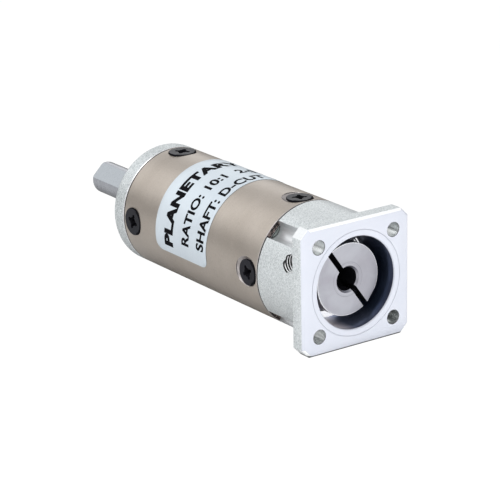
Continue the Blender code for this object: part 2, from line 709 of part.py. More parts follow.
def make_planets(stage, span, pin_end, frame):
    """Three planet gears and their pins, each with its origin on its own axis."""
    pin_start = span[0] - FACE_GAP
    pin_profile = [
        (pin_start, 0.0), (pin_start, PIN_R - PIN_CHAMFER), (pin_start + PIN_CHAMFER, PIN_R),
        (pin_end, PIN_R), (pin_end, 0.0),
    ]
    for letter, angle in zip("abc", PLANET_ANGLES):
        phase = planet_phase(math.radians(angle))
        outline = gear_outline(
            PLANET_TEETH, PLANET_R + ADDENDUM, PLANET_R - DEDENDUM, TOOTH, phase
        )
        bore = circle_points(PIN_R + PLANET_GAP, PIN_STEPS)
        gear_name, pin_name = f"planet_gear_{stage}{letter}", f"planet_pin_{stage}{letter}"
        gear = finish(prism([outline, bore], *span), gear_name, GEAR_STEEL, frame)
        pin = finish(turned(pin_profile, PIN_STEPS), pin_name, BEARING, frame)
        y, z = orbit(angle)
        for piece in (gear, pin):
            piece.location = (0, y * TO_METRES, z * TO_METRES)


def make_stage_1():
    sun = prism([SUN_OUTLINE, circle_points(NOSE_R + SUN_BORE_GAP, 28)], SUN_1_START, NOSE_END)
    finish(sun, "sun_gear_stage_1", GEAR_STEEL, INPUT_AXIS)
    finish(tube(18.45, 18.75, 5.4, 9.8, 28), "planet_shim_1", SPRING)
    loops = [circle_points(CARRIER_R, 36), circle_points(STEM_R + STEM_GAP, 20)]
    loops += [pin_hole(angle) for angle in PLANET_ANGLES]
    finish(prism(loops, *CARRIER_1), "carrier_stage_1", STEEL, CARRIER_AXIS)
    make_planets(1, PLANET_1, CARRIER_1[1] - FACE_GAP, CARRIER_AXIS)


def make_stage_2():
    sun_shape = prism([SUN_OUTLINE], SUN_2_START, PLANET_2[1])
    sun = finish(sun_shape, "sun_gear_stage_2", GEAR_STEEL, CARRIER_AXIS)
    boolean(sun, peg(STEM_R, 20, CARRIER_1[0] + FACE_GAP, STEM_END), "UNION")
    boolean(sun, peg(SUN_COLLAR_R, 20, CARRIER_1[1] + FACE_GAP, SUN_COLLAR_END), "UNION")
    finish(tube(30.35, 30.65, 4.9, 8.2, 28), "planet_shim_2", SPRING, CARRIER_AXIS)
    make_planets(2, PLANET_2, PIN_BORE_END - FACE_GAP, OUTPUT_AXIS)


# ---- output shaft, in one piece with the second carrier ------------------
PIN_BORE_END = CARRIER_2[1] - 0.4
SHOULDER_R, SHOULDER_END = 4.1, REAR_BEARING_X - FACE_GAP
SHAFT_GROOVE_R, SHAFT_GROOVE_X = 2.7, (56.12, 56.78)  # for the circlip
SHAFT_CHAMFER = 0.2
FLAT_DIST, FLAT_START, FLAT_ANGLE = 2.45, 62.1, 45.0
SEAL_PROFILE = [  # x, radius
    (57.3, 3.08), (57.3, SEAL_BORE_R - 0.03), (58.7, SEAL_BORE_R - 0.03), (58.7, 3.6),
    (58.3, 3.08),
]


def make_shaft():
    groove_start, groove_end = SHAFT_GROOVE_X
    profile = [
        (CARRIER_2[0], 0.0), (CARRIER_2[0], CARRIER_R), (CARRIER_2[1], CARRIER_R),
        (CARRIER_2[1], SHOULDER_R), (SHOULDER_END, SHOULDER_R), (SHOULDER_END, SHAFT_R),
        (groove_start, SHAFT_R), (groove_start, SHAFT_GROOVE_R), (groove_end, SHAFT_GROOVE_R),
        (groove_end, SHAFT_R), (SHAFT_END - SHAFT_CHAMFER, SHAFT_R),
        (SHAFT_END, SHAFT_R - SHAFT_CHAMFER), (SHAFT_END, 0.0),
    ]
    shaft = finish(turned(profile, 36), "output_shaft", STEEL, OUTPUT_AXIS)
    cutters = [
        prism([pin_hole(angle)], CARRIER_2[0] - OVERCUT, PIN_BORE_END) for angle in PLANET_ANGLES
    ]
    flat = block((FLAT_START, FLAT_DIST, -4), (SHAFT_END + OVERCUT, 5, 4))
    cutters.append(transformed(flat, about_x(FLAT_ANGLE)))
    boolean(shaft, joined(cutters))


# ---- assembly ------------------------------------------------------------
make_adapter()
make_barrel()
make_cover()
make_screws()
make_label()
make_hub()
make_clamp_screw()
make_bearings()
make_circlip("hub_circlip", 12.52, 13.05, 3.66, 5.1, INPUT_AXIS)
make_stage_1()
make_stage_2()
make_shaft()
make_circlip("shaft_circlip", 56.17, 56.73, 2.73, 4.3, OUTPUT_AXIS)
finish(turned(SEAL_PROFILE, 28), "dust_seal", RUBBER)
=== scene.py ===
"""A small two-stage planetary gearhead lying along X.

The motor's mounting face is at FACE_X and the output shaft points to +X; the axis is y = z = 0.
Meshes are built in millimetres, with x counted from the mounting face, and PLACE puts them in the
scene in metres. Materials, lights and the camera work in metres.
"""
import json
import math
from functools import cached_property

import bmesh
import bpy
from mathutils import Matrix, Vector


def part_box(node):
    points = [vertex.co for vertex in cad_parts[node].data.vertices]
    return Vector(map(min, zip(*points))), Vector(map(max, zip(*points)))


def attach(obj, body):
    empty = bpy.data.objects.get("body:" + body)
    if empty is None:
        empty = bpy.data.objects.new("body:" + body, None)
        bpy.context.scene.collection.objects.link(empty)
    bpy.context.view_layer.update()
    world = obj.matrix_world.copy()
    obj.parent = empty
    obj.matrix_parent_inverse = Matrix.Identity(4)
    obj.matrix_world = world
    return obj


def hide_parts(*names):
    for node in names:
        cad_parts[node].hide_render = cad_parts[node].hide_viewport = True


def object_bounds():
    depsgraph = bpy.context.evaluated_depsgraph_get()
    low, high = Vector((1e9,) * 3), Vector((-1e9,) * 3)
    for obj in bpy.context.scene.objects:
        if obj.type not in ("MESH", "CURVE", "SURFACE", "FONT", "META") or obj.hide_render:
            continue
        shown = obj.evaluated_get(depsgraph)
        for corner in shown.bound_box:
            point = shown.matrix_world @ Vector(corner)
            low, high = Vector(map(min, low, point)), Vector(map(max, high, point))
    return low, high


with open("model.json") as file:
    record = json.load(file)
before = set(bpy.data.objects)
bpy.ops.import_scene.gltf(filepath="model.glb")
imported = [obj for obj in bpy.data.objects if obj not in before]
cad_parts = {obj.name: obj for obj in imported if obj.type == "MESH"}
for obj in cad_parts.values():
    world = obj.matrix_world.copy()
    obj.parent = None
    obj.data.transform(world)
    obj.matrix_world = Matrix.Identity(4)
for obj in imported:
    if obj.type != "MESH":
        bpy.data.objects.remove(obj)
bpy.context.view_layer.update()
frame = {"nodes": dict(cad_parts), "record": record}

MM = 0.001
FACE_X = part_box("motor_adapter")[0].x
END_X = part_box("output_shaft")[1].x
PLACE = Matrix.Translation((FACE_X, 0, 0)) @ Matrix.Scale(MM, 4)

# Driving sizes, in millimetres
BODY_R = 11.0
ADAPTER_END = 12.9
BARREL_START, BARREL_END = 12.94, 53.74
RIM_START, RIM_END = 53.78, 57.1
BOSS_R, BOSS_END = 6.0, 59.1
SHAFT_R = 3.0
SHAFT_END = (END_X - FACE_X) / MM
SPIGOT_R, BARREL_BORE_R = 9.95, 9.99  # the adapter and the cover plug into the barrel
FLANGE_HALF, FLANGE_CORNER = 11.05, 1.5
FLANGE_T, FLANGE_BEVEL = 2.8, 0.4
BOLT = 7.7  # y and z of the four mounting holes
BOLT_GROOVE_R = 1.7
TAP_X, TAP_Z = 4.7, 4.2  # tapped side hole; the clamp screw has the same x and offset

# The eight radial countersunk screws; heights are distances from the axis
SCREW_ANGLES = (90.0, 0.0, 270.0, 180.0)  # from +Y towards +Z
COVER_SCREW_X, ADAPTER_SCREW_X = 50.75, 15.5
HEAD_R, SHANK_R = 2.45, 1.25
HEAD_TOP, SHANK_TIP, HEAD_SIDE = 11.05, 6.75, 0.3
CONE_TOP = HEAD_TOP - HEAD_SIDE
NECK = CONE_TOP - (HEAD_R - SHANK_R)
CLEAR = 12.5  # how far out radial cutters reach


# ======================================================================
# node helpers
# ======================================================================
def rgba(colour):
    return colour if isinstance(colour, bpy.types.NodeSocket) else (*colour, 1.0)


class Nodes:
    """Short calls that add nodes to a tree and return their output sockets."""

    def __init__(self, tree):
        self.tree = tree
        self.place = -1600

    def put(self, socket, value):
        if isinstance(value, bpy.types.NodeSocket):
            self.tree.links.new(value, socket)
        elif value is not None:
            socket.default_value = value

    def node(self, kind, inputs=None, **settings):
        made = self.tree.nodes.new(kind)
        self.place += 60
        made.location = (self.place, 0)
        for key, value in settings.items():
            setattr(made, key, value)
        for key, value in (inputs or {}).items():
            self.put(made.inputs[key], value)
        return made

    def maths(self, operation, first, second=None):
        return self.node("ShaderNodeMath", {0: first, 1: second}, operation=operation).outputs[0]

    def times(self, first, second):
        return self.maths("MULTIPLY", first, second)

    def span(self, value, start=0.3, end=0.7, first=0.0, last=1.0):
        """Runs from first to last as value runs from start to end."""
        inputs = {"Value": value, "From Min": start, "From Max": end, "To Min": first, "To Max": last}
        return self.node("ShaderNodeMapRange", inputs).outputs["Result"]

    def ramp(self, value, stops):
        made = self.node("ShaderNodeValToRGB", {0: value})
        elements = made.color_ramp.elements
        while len(elements) < len(stops):
            elements.new(0.5)
        for element, (position, colour) in zip(elements, stops):
            element.position = position
            element.color = (*colour, 1.0)
        return made.outputs["Color"]

    def split(self, vector):
        return self.node("ShaderNodeSeparateXYZ", {0: vector}).outputs


class Material(Nodes):
    """A material on the Principled shader; noise scales are per metre."""

    def __init__(self, name):
        self.made = bpy.data.materials.new(name)
        self.made.use_nodes = True
        super().__init__(self.made.node_tree)
        self.coord = self.node("ShaderNodeTexCoord").outputs["Object"]

    @cached_property
    def axes(self):
        return self.split(self.coord)

    @property
    def along(self):
        """x, along the shaft axis."""
        return self.axes["X"]

    @cached_property
    def radius(self):
        """Distance from the shaft axis."""
        return self.length(self.axes["Y"], self.axes["Z"])

    @cached_property
    def angle(self):
        """Angle about the shaft axis, from +Y towards +Z."""
        return self.maths("ARCTAN2", self.axes["Z"], self.axes["Y"])

    def length(self, first, second):
        squares = self.times(first, first), self.times(second, second)
        return self.maths("SQRT", self.maths("ADD", *squares))

    def gap(self, value, target):
        return self.maths("ABSOLUTE", self.maths("SUBTRACT", value, target))

    def toward(self, degrees):
        """1 on the side at this angle about the axis, -1 on the opposite side."""
        return self.maths("COSINE", self.maths("SUBTRACT", self.angle, math.radians(degrees)))

    def peak(self, value, middle, width):
        rise = self.span(value, start=middle - width, end=middle)
        return self.times(rise, self.span(value, start=middle, end=middle + width, first=1.0, last=0.0))

    def add(self, *pairs):
        """Adds two values, each given with its share."""
        return self.maths("ADD", *[self.times(value, share) for value, share in pairs])

    def vector(self, x, y=0.0, z=0.0):
        return self.node("ShaderNodeCombineXYZ", {0: x, 1: y, 2: z}).outputs[0]

    def stretched(self, scale):
        return self.node("ShaderNodeMapping", {"Vector": self.coord, "Scale": scale}).outputs["Vector"]

    def noise(self, scale, detail=3.0, rough=0.6, vector=None, distortion=0.0):
        inputs = {
            "Vector": vector or self.coord, "Scale": scale, "Detail": detail,
            "Roughness": rough, "Distortion": distortion,
        }
        return self.node("ShaderNodeTexNoise", inputs).outputs["Fac"]

    def lines(self, along, across=0.0, drift=0.0, **noise):
        """Noise drawn out about the axis; drift is how much it changes per radian."""
        turn = self.times(self.angle, drift) if drift else 0.0
        return self.noise(vector=self.vector(along, across, turn), **noise)

    def voronoi(self, scale):
        return self.node("ShaderNodeTexVoronoi", {"Vector": self.coord, "Scale": scale}).outputs["Distance"]

    def mix(self, factor, under, over):
        inputs = {0: factor, 6: rgba(under), 7: rgba(over)}
        return self.node("ShaderNodeMix", inputs, data_type="RGBA", blend_type="MIX").outputs[2]

    def fade(self, under, over, mask, start=0.3, end=0.7, top=1.0):
        """Lays one colour over another, from none to top as mask runs from start to end."""
        return self.mix(self.span(mask, start=start, end=end, last=top), under, over)

    def wear(self, colour, worn, radius, strength):
        """Wears sharp edges; returns the colour and a normal that rounds them."""
        bevel = self.node("ShaderNodeBevel", {"Radius": radius}, samples=6).outputs[0]
        flat = self.node("ShaderNodeNewGeometry").outputs["Normal"]
        dot = self.node("ShaderNodeVectorMath", {0: bevel, 1: flat}, operation="DOT_PRODUCT")
        edge = self.span(dot.outputs["Value"], start=0.98, end=0.75)
        return self.mix(self.times(edge, strength), colour, worn), bevel

    def bump(self, height, strength, distance=0.00001, normal=None):
        inputs = {"Strength": strength, "Distance": distance, "Height": height, "Normal": normal}
        return self.node("ShaderNodeBump", inputs).outputs[0]

    def tangent(self):
        return self.node("ShaderNodeTangent", direction_type="RADIAL", axis="X").outputs[0]

    def finish(self, colour, rough, metallic, normal, **more):
        inputs = {"Base_Color": colour, "Roughness": rough, "Metallic": metallic, "Normal": normal}
        for key, value in {**inputs, **more}.items():
            self.put(self.tree.nodes["Principled BSDF"].inputs[key.replace("_", " ")], value)
        return self.made


# ======================================================================
# materials
# ======================================================================
def blasted_aluminium():
    mat = Material("blasted_aluminium_fine")
    grain = mat.noise(scale=4000, rough=0.7)
    speck = mat.add((grain, 0.62), (mat.voronoi(scale=2900), 0.38))
    stops = [(0.32, (0.388, 0.425, 0.431)), (0.45, (0.517, 0.556, 0.564)), (0.57, (0.651, 0.69, 0.697))]
    colour = mat.ramp(speck, stops)
    cloud = mat.noise(scale=170, rough=0.5)
    colour = mat.fade(colour, (0.482, 0.513, 0.526), cloud, start=0.35, top=0.3)
    spark = mat.noise(scale=6000, detail=1.0, rough=0.5)
    colour = mat.fade(colour, (0.93, 0.95, 0.96), spark, start=0.61, end=0.68, top=0.9)
    # paler towards the motor
    colour = mat.fade(colour, (0.881, 0.909, 0.917), mat.along, start=0.012, end=-0.024, top=0.16)
    colour, smooth = mat.wear(colour, (0.673, 0.69, 0.692), radius=0.00012, strength=0.55)
    normal = mat.bump(speck, strength=0.34, distance=0.00002, normal=smooth)
    return mat.finish(colour, rough=mat.span(grain, first=0.5, last=0.36), metallic=0.62, normal=normal)


def machined_face():
    """The adapter's faced front: almost white, with faint rings left by the lathe."""
    mat = Material("machined_face")
    rings = mat.lines(mat.radius, drift=0.00002, scale=9000, detail=2.0)
    broad = mat.lines(mat.radius, drift=0.0002, scale=700, detail=2.0, rough=0.5)
    cloud = mat.noise(scale=160, rough=0.5)
    grain = mat.noise(scale=9000, detail=2.0)
    colour = mat.fade((0.596, 0.624, 0.696), (0.63, 0.654, 0.721), cloud)
    colour = mat.fade(colour, (0.675, 0.687, 0.725), rings, start=0.35, end=0.65, top=0.16)
    colour, smooth = mat.wear(colour, (0.689, 0.701, 0.725), radius=0.00005, strength=0.7)
    # painted shade: the scribed ring's groove is painted darker
    off_ring = mat.gap(mat.radius, target=0.00908)
    scribed = mat.span(off_ring, start=0.00006, end=0.00012, first=0.24, last=0.0)
    colour = mat.mix(scribed, colour, (0.28, 0.29, 0.33))
    height = mat.maths("ADD", mat.add((rings, 0.5), (grain, 0.4)), broad)
    normal = mat.bump(height, strength=0.12, normal=smooth)
    rough = mat.span(rings, first=0.46, last=0.58)
    return mat.finish(colour, rough, metallic=0.10, normal=normal, Specular_IOR_Level=0.3)


def polished_bore():
    """The pilot bore's smooth wall, painted dark and bluish as a painted reflection of the dark inside,
    with painted shade deeper in and painted light low down.
    """
    mat = Material("polished_bore")
    rings = mat.lines(mat.along, drift=0.0002, scale=9000, detail=2.0, rough=0.5)
    mouth = mat.fade((0.046, 0.066, 0.122), (0.066, 0.088, 0.146), rings)
    deep = mat.fade((0.024, 0.038, 0.082), (0.040, 0.056, 0.108), rings)
    # painted shade: darker deeper into the bore
    colour = mat.fade(mouth, deep, mat.along, start=FACE_X + 0.0012, end=FACE_X + 0.0042)
    # painted light: the lower side towards +Y, which faces up to the light, is painted brighter and less
    # metallic, beside a bluish painted reflection
    lit = mat.span(mat.toward(degrees=-58.0), start=0.82, end=0.965)
    cool_painted_reflection = mat.span(mat.toward(degrees=-84.0), start=0.70, end=0.96)
    colour = mat.mix(mat.times(cool_painted_reflection, 0.8), colour, (0.25, 0.29, 0.42))
    colour = mat.mix(mat.times(lit, 0.9), colour, (0.62, 0.57, 0.60))
    lip = mat.span(mat.along, start=FACE_X + 0.0006, end=FACE_X + 0.0013, first=1.0, last=0.0)
    colour = mat.mix(mat.times(lip, 0.6), colour, (0.07, 0.075, 0.11))
    cloud = mat.noise(scale=260, rough=0.5)
    colour = mat.fade(colour, (0.05, 0.055, 0.08), cloud, start=0.4, end=0.75, top=0.3)
    metallic = mat.maths("SUBTRACT", 0.85, mat.times(lit, 0.5))
    rough = mat.span(rings, first=0.285, last=0.30)
    return mat.finish(colour, rough, metallic, normal=mat.bump(rings, strength=0.004))


def bright_cut():
    """Freshly turned or countersunk metal."""
    mat = Material("bright_cut")
    marks = mat.noise(scale=6000)
    arcs = mat.lines(mat.along, across=mat.radius, scale=2600, detail=2.0, rough=0.5)
    colour = mat.fade((0.62, 0.62, 0.64), (0.86, 0.86, 0.87), arcs)
    colour, smooth = mat.wear(colour, (0.97, 0.97, 0.98), radius=0.00008, strength=0.6)
    normal = mat.bump(marks, strength=0.2, normal=smooth)
    return mat.finish(colour, rough=mat.span(marks, first=0.22, last=0.36), metallic=0.95, normal=normal)


def sunk_steel():
    """The barrel's countersinks: the same steel, cut bright."""
    mat = Material("sunk_steel")
    marks = mat.noise(scale=5200)
    cloud = mat.noise(scale=900, detail=2.0, rough=0.5)
    colour = mat.fade((0.40, 0.37, 0.36), (0.52, 0.49, 0.485), cloud)
    colour, smooth = mat.wear(colour, (0.86, 0.85, 0.85), radius=0.00006, strength=0.6)
    normal = mat.bump(marks, strength=0.1, normal=smooth)
    return mat.finish(colour, rough=mat.span(marks, first=0.26, last=0.4), metallic=0.92, normal=normal)


def milled_edge():
    """Bevels and corner cuts, bright milled metal; on the flange's upper bevel and the hub's rim the
    brightness is also a painted highlight.
    """
    mat = Material("milled_edge")
    ticks = mat.noise(scale=5200)
    drag = mat.noise(scale=2400, detail=2.0, rough=0.5, vector=mat.stretched((5.0, 1.0, 1.0)))
    colour = mat.fade((0.86, 0.88, 0.89), (0.96, 0.97, 0.975), drag)
    colour = mat.fade(colour, (0.58, 0.60, 0.61), ticks, start=0.60, end=0.72, top=0.6)
    # painted shade: duller on faces that don't look towards the motor
    facing_for_painted_shade = mat.split(mat.node("ShaderNodeNewGeometry").outputs["True Normal"])["X"]
    colour = mat.fade(colour, (0.60, 0.63, 0.64), facing_for_painted_shade, start=-0.4, end=-0.1, top=0.5)
    # painted shade: near black on the lowest bevel, under the flange
    under = mat.span(mat.axes["Z"], start=-0.01064, end=-0.01056, first=1.0, last=0.0)
    colour = mat.mix(mat.times(under, 0.92), colour, (0.07, 0.075, 0.075))
    normal = mat.bump(mat.maths("ADD", ticks, drag), strength=0.2)
    return mat.finish(colour, rough=mat.span(ticks, first=0.3, last=0.45), metallic=0.2, normal=normal)


def hole_wall():
    """Drilled aluminium: fine rings down the hole, darker as it goes in."""
    mat = Material("hole_wall")
    rings = mat.lines(mat.along, scale=5200)
    grain = mat.noise(scale=5200)
    colour = mat.fade((0.732, 0.769, 0.769), (0.976, 1.0, 1.0), rings)
    shade = (0.268, 0.285, 0.281)
    colour = mat.fade(colour, shade, mat.along, start=FACE_X + 0.0005, end=FACE_X + 0.0024, top=0.5)
    colour, smooth = mat.wear(colour, (1.0, 1.0, 1.0), radius=0.00008, strength=0.6)
    normal = mat.bump(rings, strength=0.2, normal=smooth)
    return mat.finish(colour, rough=mat.span(grain, first=0.24, last=0.36), metallic=0.9, normal=normal)


def thread_wall():
    """Tapped aluminium: bright crests that glow a little as painted light, on flanks painted dark as shade.
    """
    mat = Material("thread_wall")
    spot = mat.split(mat.coord)
    depth = mat.span(spot["Y"], start=0.0098, end=0.0070, last=0.2)
    from_x = mat.maths("SUBTRACT", spot["X"], FACE_X + TAP_X * MM)
    from_z = mat.maths("SUBTRACT", spot["Z"], TAP_Z * MM)
    grain = mat.noise(scale=5200)
    colour = mat.fade((0.92, 0.94, 0.95), (0.99, 0.99, 1.0), grain)
    # painted shade in the valleys beyond the crests
    valley_shade_reach = mat.length(from_x, from_z)
    colour = mat.fade(colour, (0.010, 0.010, 0.011), valley_shade_reach, start=0.00147, end=0.00153)
    # painted shade: darker deeper into the hole
    colour = mat.mix(depth, colour, (0.012, 0.012, 0.014))
    # painted shade: black at the hole's mouth
    colour = mat.fade(colour, (0.006, 0.006, 0.007), mat.radius, start=0.01072, end=0.01082)
    return mat.finish(
        colour, rough=mat.span(grain, first=0.3, last=0.45), metallic=0.1,
        normal=mat.bump(grain, strength=0.15), Emission_Color=colour, Emission_Strength=0.22,
    )


def step_ring():
    """The turned step at the bottom of the pilot bore, painted dark as shade, with painted glints that glow
    where it catches light.
    """
    mat = Material("step_ring")
    rings = mat.lines(mat.radius, across=mat.along, scale=7000)
    grain = mat.noise(scale=6000)
    bright = mat.fade((0.84, 0.85, 0.88), (0.97, 0.97, 0.99), rings)
    # painted glints: a patch low down and two thin lines high up; the rest is painted shade
    low = mat.span(mat.toward(degrees=-92.0), start=0.945, end=0.985)
    high = mat.span(mat.toward(degrees=149.0), start=0.9940, end=0.9965)
    off_outer, off_inner = mat.gap(mat.radius, target=0.00754), mat.gap(mat.radius, target=0.00713)
    outer_line = mat.span(off_outer, start=0.00005, end=0.00010, first=1.0, last=0.0)
    inner_line = mat.span(off_inner, start=0.00004, end=0.00009, first=1.0, last=0.0)
    high = mat.times(high, mat.maths("MAXIMUM", outer_line, inner_line))
    glint = mat.maths("MAXIMUM", low, high)
    colour = mat.mix(glint, (0.10, 0.105, 0.125), bright)
    return mat.finish(
        colour, rough=mat.span(grain, first=0.24, last=0.36), metallic=0.2,
        normal=mat.bump(rings, strength=0.1),
        Emission_Color=bright, Emission_Strength=mat.times(glint, 0.75),
    )


def seam_shadow():
    """Narrow bevels at the joints between parts and at the mounting holes' mouths, painted near black as
    the shade in them.
    """
    mat = Material("seam_shadow")
    shade_mottle = mat.noise(scale=1500, detail=4.0)
    grain = mat.noise(scale=7000, detail=2.0)
    colour = mat.fade((0.008, 0.0075, 0.007), (0.03, 0.028, 0.026), shade_mottle)
    return mat.finish(
        colour, rough=mat.span(grain, first=0.5, last=0.7), metallic=0.1,
        normal=mat.bump(grain, strength=0.2), Specular_IOR_Level=0.2,
    )


def shoulder_steel():
    """End faces at the bottom of the bolt channels, painted dark and mottled as shade, and black along
    their edges as painted shade.
    """
    mat = Material("shoulder_steel")
    stain = mat.noise(scale=1500, detail=4.0)
    grain = mat.noise(scale=6000, detail=2.0)
    colour = mat.fade((0.17, 0.20, 0.185), (0.29, 0.325, 0.305), stain, start=0.32)
    spot = mat.split(mat.coord)
    offsets = [mat.maths("SUBTRACT", mat.maths("ABSOLUTE", spot[axis]), BOLT * MM) for axis in "YZ"]
    # painted shade: black along the faces' edges
    bolt_edge_painted_shade = mat.span(mat.length(*offsets), start=0.00154, end=0.00160)
    rim_edge_painted_shade = mat.span(mat.radius, start=0.00976, end=0.00984)
    colour = mat.mix(mat.maths("MAXIMUM", bolt_edge_painted_shade, rim_edge_painted_shade), colour, (0.006, 0.006, 0.006))
    rough = mat.span(grain, first=0.34, last=0.5)
    return mat.finish(colour, rough, metallic=0.3, normal=mat.bump(grain, strength=0.2))


def barrel_end_steel():
    """The barrel's sawn end, painted dark brown and mottled black as the shade it lies in."""
    mat = Material("barrel_end_steel")
    stain = mat.noise(scale=1900, detail=4.0, rough=0.7)
    grain = mat.noise(scale=6000, detail=2.0)
    colour = mat.fade((0.010, 0.008, 0.008), (0.27, 0.205, 0.185), stain, start=0.47, end=0.60)
    rough = mat.span(grain, first=0.34, last=0.5)
    return mat.finish(colour, rough, metallic=0.4, normal=mat.bump(grain, strength=0.2))


def groove_wall():
    """The bolt channels' milled walls, brighter than the blasted outside."""
    mat = Material("groove_wall")
    ticks = mat.noise(scale=4600)
    run = mat.noise(scale=2600, vector=mat.stretched((0.103, 0.86, 0.865)))
    colour = mat.fade((0.636, 0.654, 0.666), (0.774, 0.791, 0.804), run)
    colour = mat.fade(colour, (0.791, 0.808, 0.813), ticks, start=0.58, end=0.72, top=0.4)
    rough = mat.span(ticks, first=0.28, last=0.42)
    return mat.finish(colour, rough, metallic=0.72, normal=mat.bump(run, strength=0.3))


def nickel_barrel():
    mat = Material("nickel_barrel_fine")
    lines = mat.lines(mat.along, drift=0.00012, scale=5200, detail=4.0, rough=0.65)
    grain = mat.noise(scale=7200, detail=2.0)
    cloud = mat.noise(scale=120, detail=4.0, rough=0.55, distortion=0.6)
    handled = mat.noise(scale=420)
    fleck = mat.noise(scale=3600, detail=2.0)
    colour = mat.fade((0.410, 0.362, 0.312), (0.480, 0.430, 0.378), cloud, start=0.32, end=0.68)
    colour = mat.fade(colour, (0.60, 0.555, 0.505), grain, start=0.36, end=0.66, top=0.34)
    colour = mat.fade(colour, (0.30, 0.262, 0.232), fleck, start=0.55, end=0.70, top=0.30)
    colour = mat.fade(colour, (0.34, 0.30, 0.27), lines, start=0.35, top=0.22)
    colour, smooth = mat.wear(colour, (0.86, 0.84, 0.82), radius=0.00010, strength=0.6)
    smears = mat.span(handled, start=0.4, end=0.8, last=0.06)
    rough = mat.maths("ADD", mat.span(grain, first=0.30, last=0.38), smears)
    height = mat.add((lines, 0.6), (grain, 0.6))
    normal = mat.bump(height, strength=0.16, distance=0.000012, normal=smooth)
    return mat.finish(colour, rough, metallic=0.88, normal=normal, Anisotropic=0.45, Tangent=mat.tangent())


def black_oxide():
    mat = Material("black_oxide_fine")
    mottle = mat.noise(scale=2600, detail=4.0, rough=0.65)
    grain = mat.noise(scale=9000, detail=2.0)
    colour = mat.fade((0.009, 0.0095, 0.0135), (0.024, 0.025, 0.034), mottle)
    patchy = mat.span(mottle, start=0.35, end=0.6, first=0.15, last=0.75)
    colour, smooth = mat.wear(colour, (0.07, 0.072, 0.085), radius=0.00010, strength=patchy)
    normal = mat.bump(grain, strength=0.3, distance=0.000012, normal=smooth)
    return mat.finish(colour, rough=mat.span(mottle, first=0.30, last=0.46), metallic=0.85, normal=normal)


def turned_steel():
    """Steel with fine rings about the shaft axis, on faces and on cylinders alike."""
    mat = Material("turned_steel")
    radius, along = mat.radius, mat.along
    drift = mat.times(mat.angle, 0.00003)
    fine = mat.noise(scale=7800, vector=mat.vector(radius, along, drift))
    broad = mat.noise(scale=900, detail=2.0, rough=0.5, vector=mat.vector(radius, along, drift))
    cloud = mat.noise(scale=320, rough=0.5)
    sheen = mat.noise(scale=210, rough=0.55, distortion=0.5)
    colour = mat.fade((0.337, 0.336, 0.372), (0.353, 0.35, 0.389), broad, start=0.35, end=0.65)
    colour = mat.fade(colour, (0.441, 0.443, 0.479), fine, start=0.35, top=0.15)
    colour = mat.fade(colour, (0.264, 0.26, 0.278), cloud, start=0.45, end=0.75, top=0.2)
    colour = mat.fade(colour, (0.451, 0.467, 0.501), sheen, start=0.42, end=0.66, top=0.42)
    # painted shade in the face's shallow groove
    groove_painted_shade = mat.peak(radius, middle=0.00296, width=0.00008)
    colour = mat.mix(mat.times(groove_painted_shade, 0.42), colour, (0.17, 0.171, 0.192))
    inner = mat.peak(radius, middle=0.00272, width=0.00008)
    colour = mat.mix(mat.times(inner, 0.25), colour, (0.221, 0.222, 0.244))
    colour, _ = mat.wear(colour, (0.454, 0.456, 0.491), radius=0.00003, strength=0.2)
    # painted highlight along the hub's rim
    rim = mat.span(radius, start=0.00612, end=0.00620)
    colour = mat.mix(mat.times(rim, 0.7), colour, (0.732, 0.736, 0.77))
    return mat.finish(
        colour, rough=mat.span(fine, first=0.30, last=0.40), metallic=0.9,
        normal=mat.bump(fine, strength=0.08), Anisotropic=0.4, Tangent=mat.tangent(),
    )


def ground_shaft():
    mat = Material("ground_shaft")
    fine = mat.lines(mat.along, drift=0.0002, scale=9000, rough=0.65)
    broad = mat.lines(mat.along, drift=0.0008, scale=1300, detail=2.0, rough=0.5)
    cloud = mat.noise(scale=300, rough=0.5)
    colour = mat.fade((0.403, 0.418, 0.45), (0.464, 0.48, 0.514), broad, start=0.35, end=0.65)
    colour = mat.fade(colour, (0.349, 0.36, 0.395), cloud, start=0.4, end=0.75, top=0.25)
    colour, smooth = mat.wear(colour, (0.698, 0.712, 0.747), radius=0.00010, strength=0.5)
    return mat.finish(
        colour, rough=mat.span(fine, first=0.22, last=0.34), metallic=0.92,
        normal=mat.bump(fine, strength=0.18, normal=smooth), Anisotropic=0.4, Tangent=mat.tangent(),
    )


def milled_flat():
    """The shaft's flat: short arcs left by the end mill."""
    mat = Material("milled_flat")
    wave = mat.node(
        "ShaderNodeTexWave",
        {"Vector": mat.coord, "Scale": 900, "Distortion": 1.2, "Detail": 2.0, "Detail Scale": 1.5},
        wave_type="BANDS", bands_direction="X", wave_profile="SIN",
    ).outputs["Fac"]
    grain = mat.noise(scale=5600)
    colour = mat.fade((0.351, 0.38, 0.407), (0.431, 0.461, 0.489), grain)
    colour, smooth = mat.wear(colour, (0.763, 0.804, 0.833), radius=0.00008, strength=0.5)
    normal = mat.bump(mat.add((wave, 0.5), (grain, 0.5)), strength=0.15, normal=smooth)
    return mat.finish(colour, rough=mat.span(grain, first=0.26, last=0.38), metallic=0.9, normal=normal)


def painted_shade_recess():
    """Near-black painted shade for the hub's slot and bore and the screws' crosses, rims and motor-side
    bands.
    """
    mat = Material("painted_shade_recess")
    grain = mat.noise(scale=3800)
    colour = mat.fade((0.003, 0.003, 0.004), (0.010, 0.010, 0.013), grain)
    return mat.finish(
        colour, rough=mat.span(grain, first=0.6, last=0.8), metallic=0.0,
        normal=mat.bump(grain, strength=0.3), Specular_IOR_Level=0.04,
    )


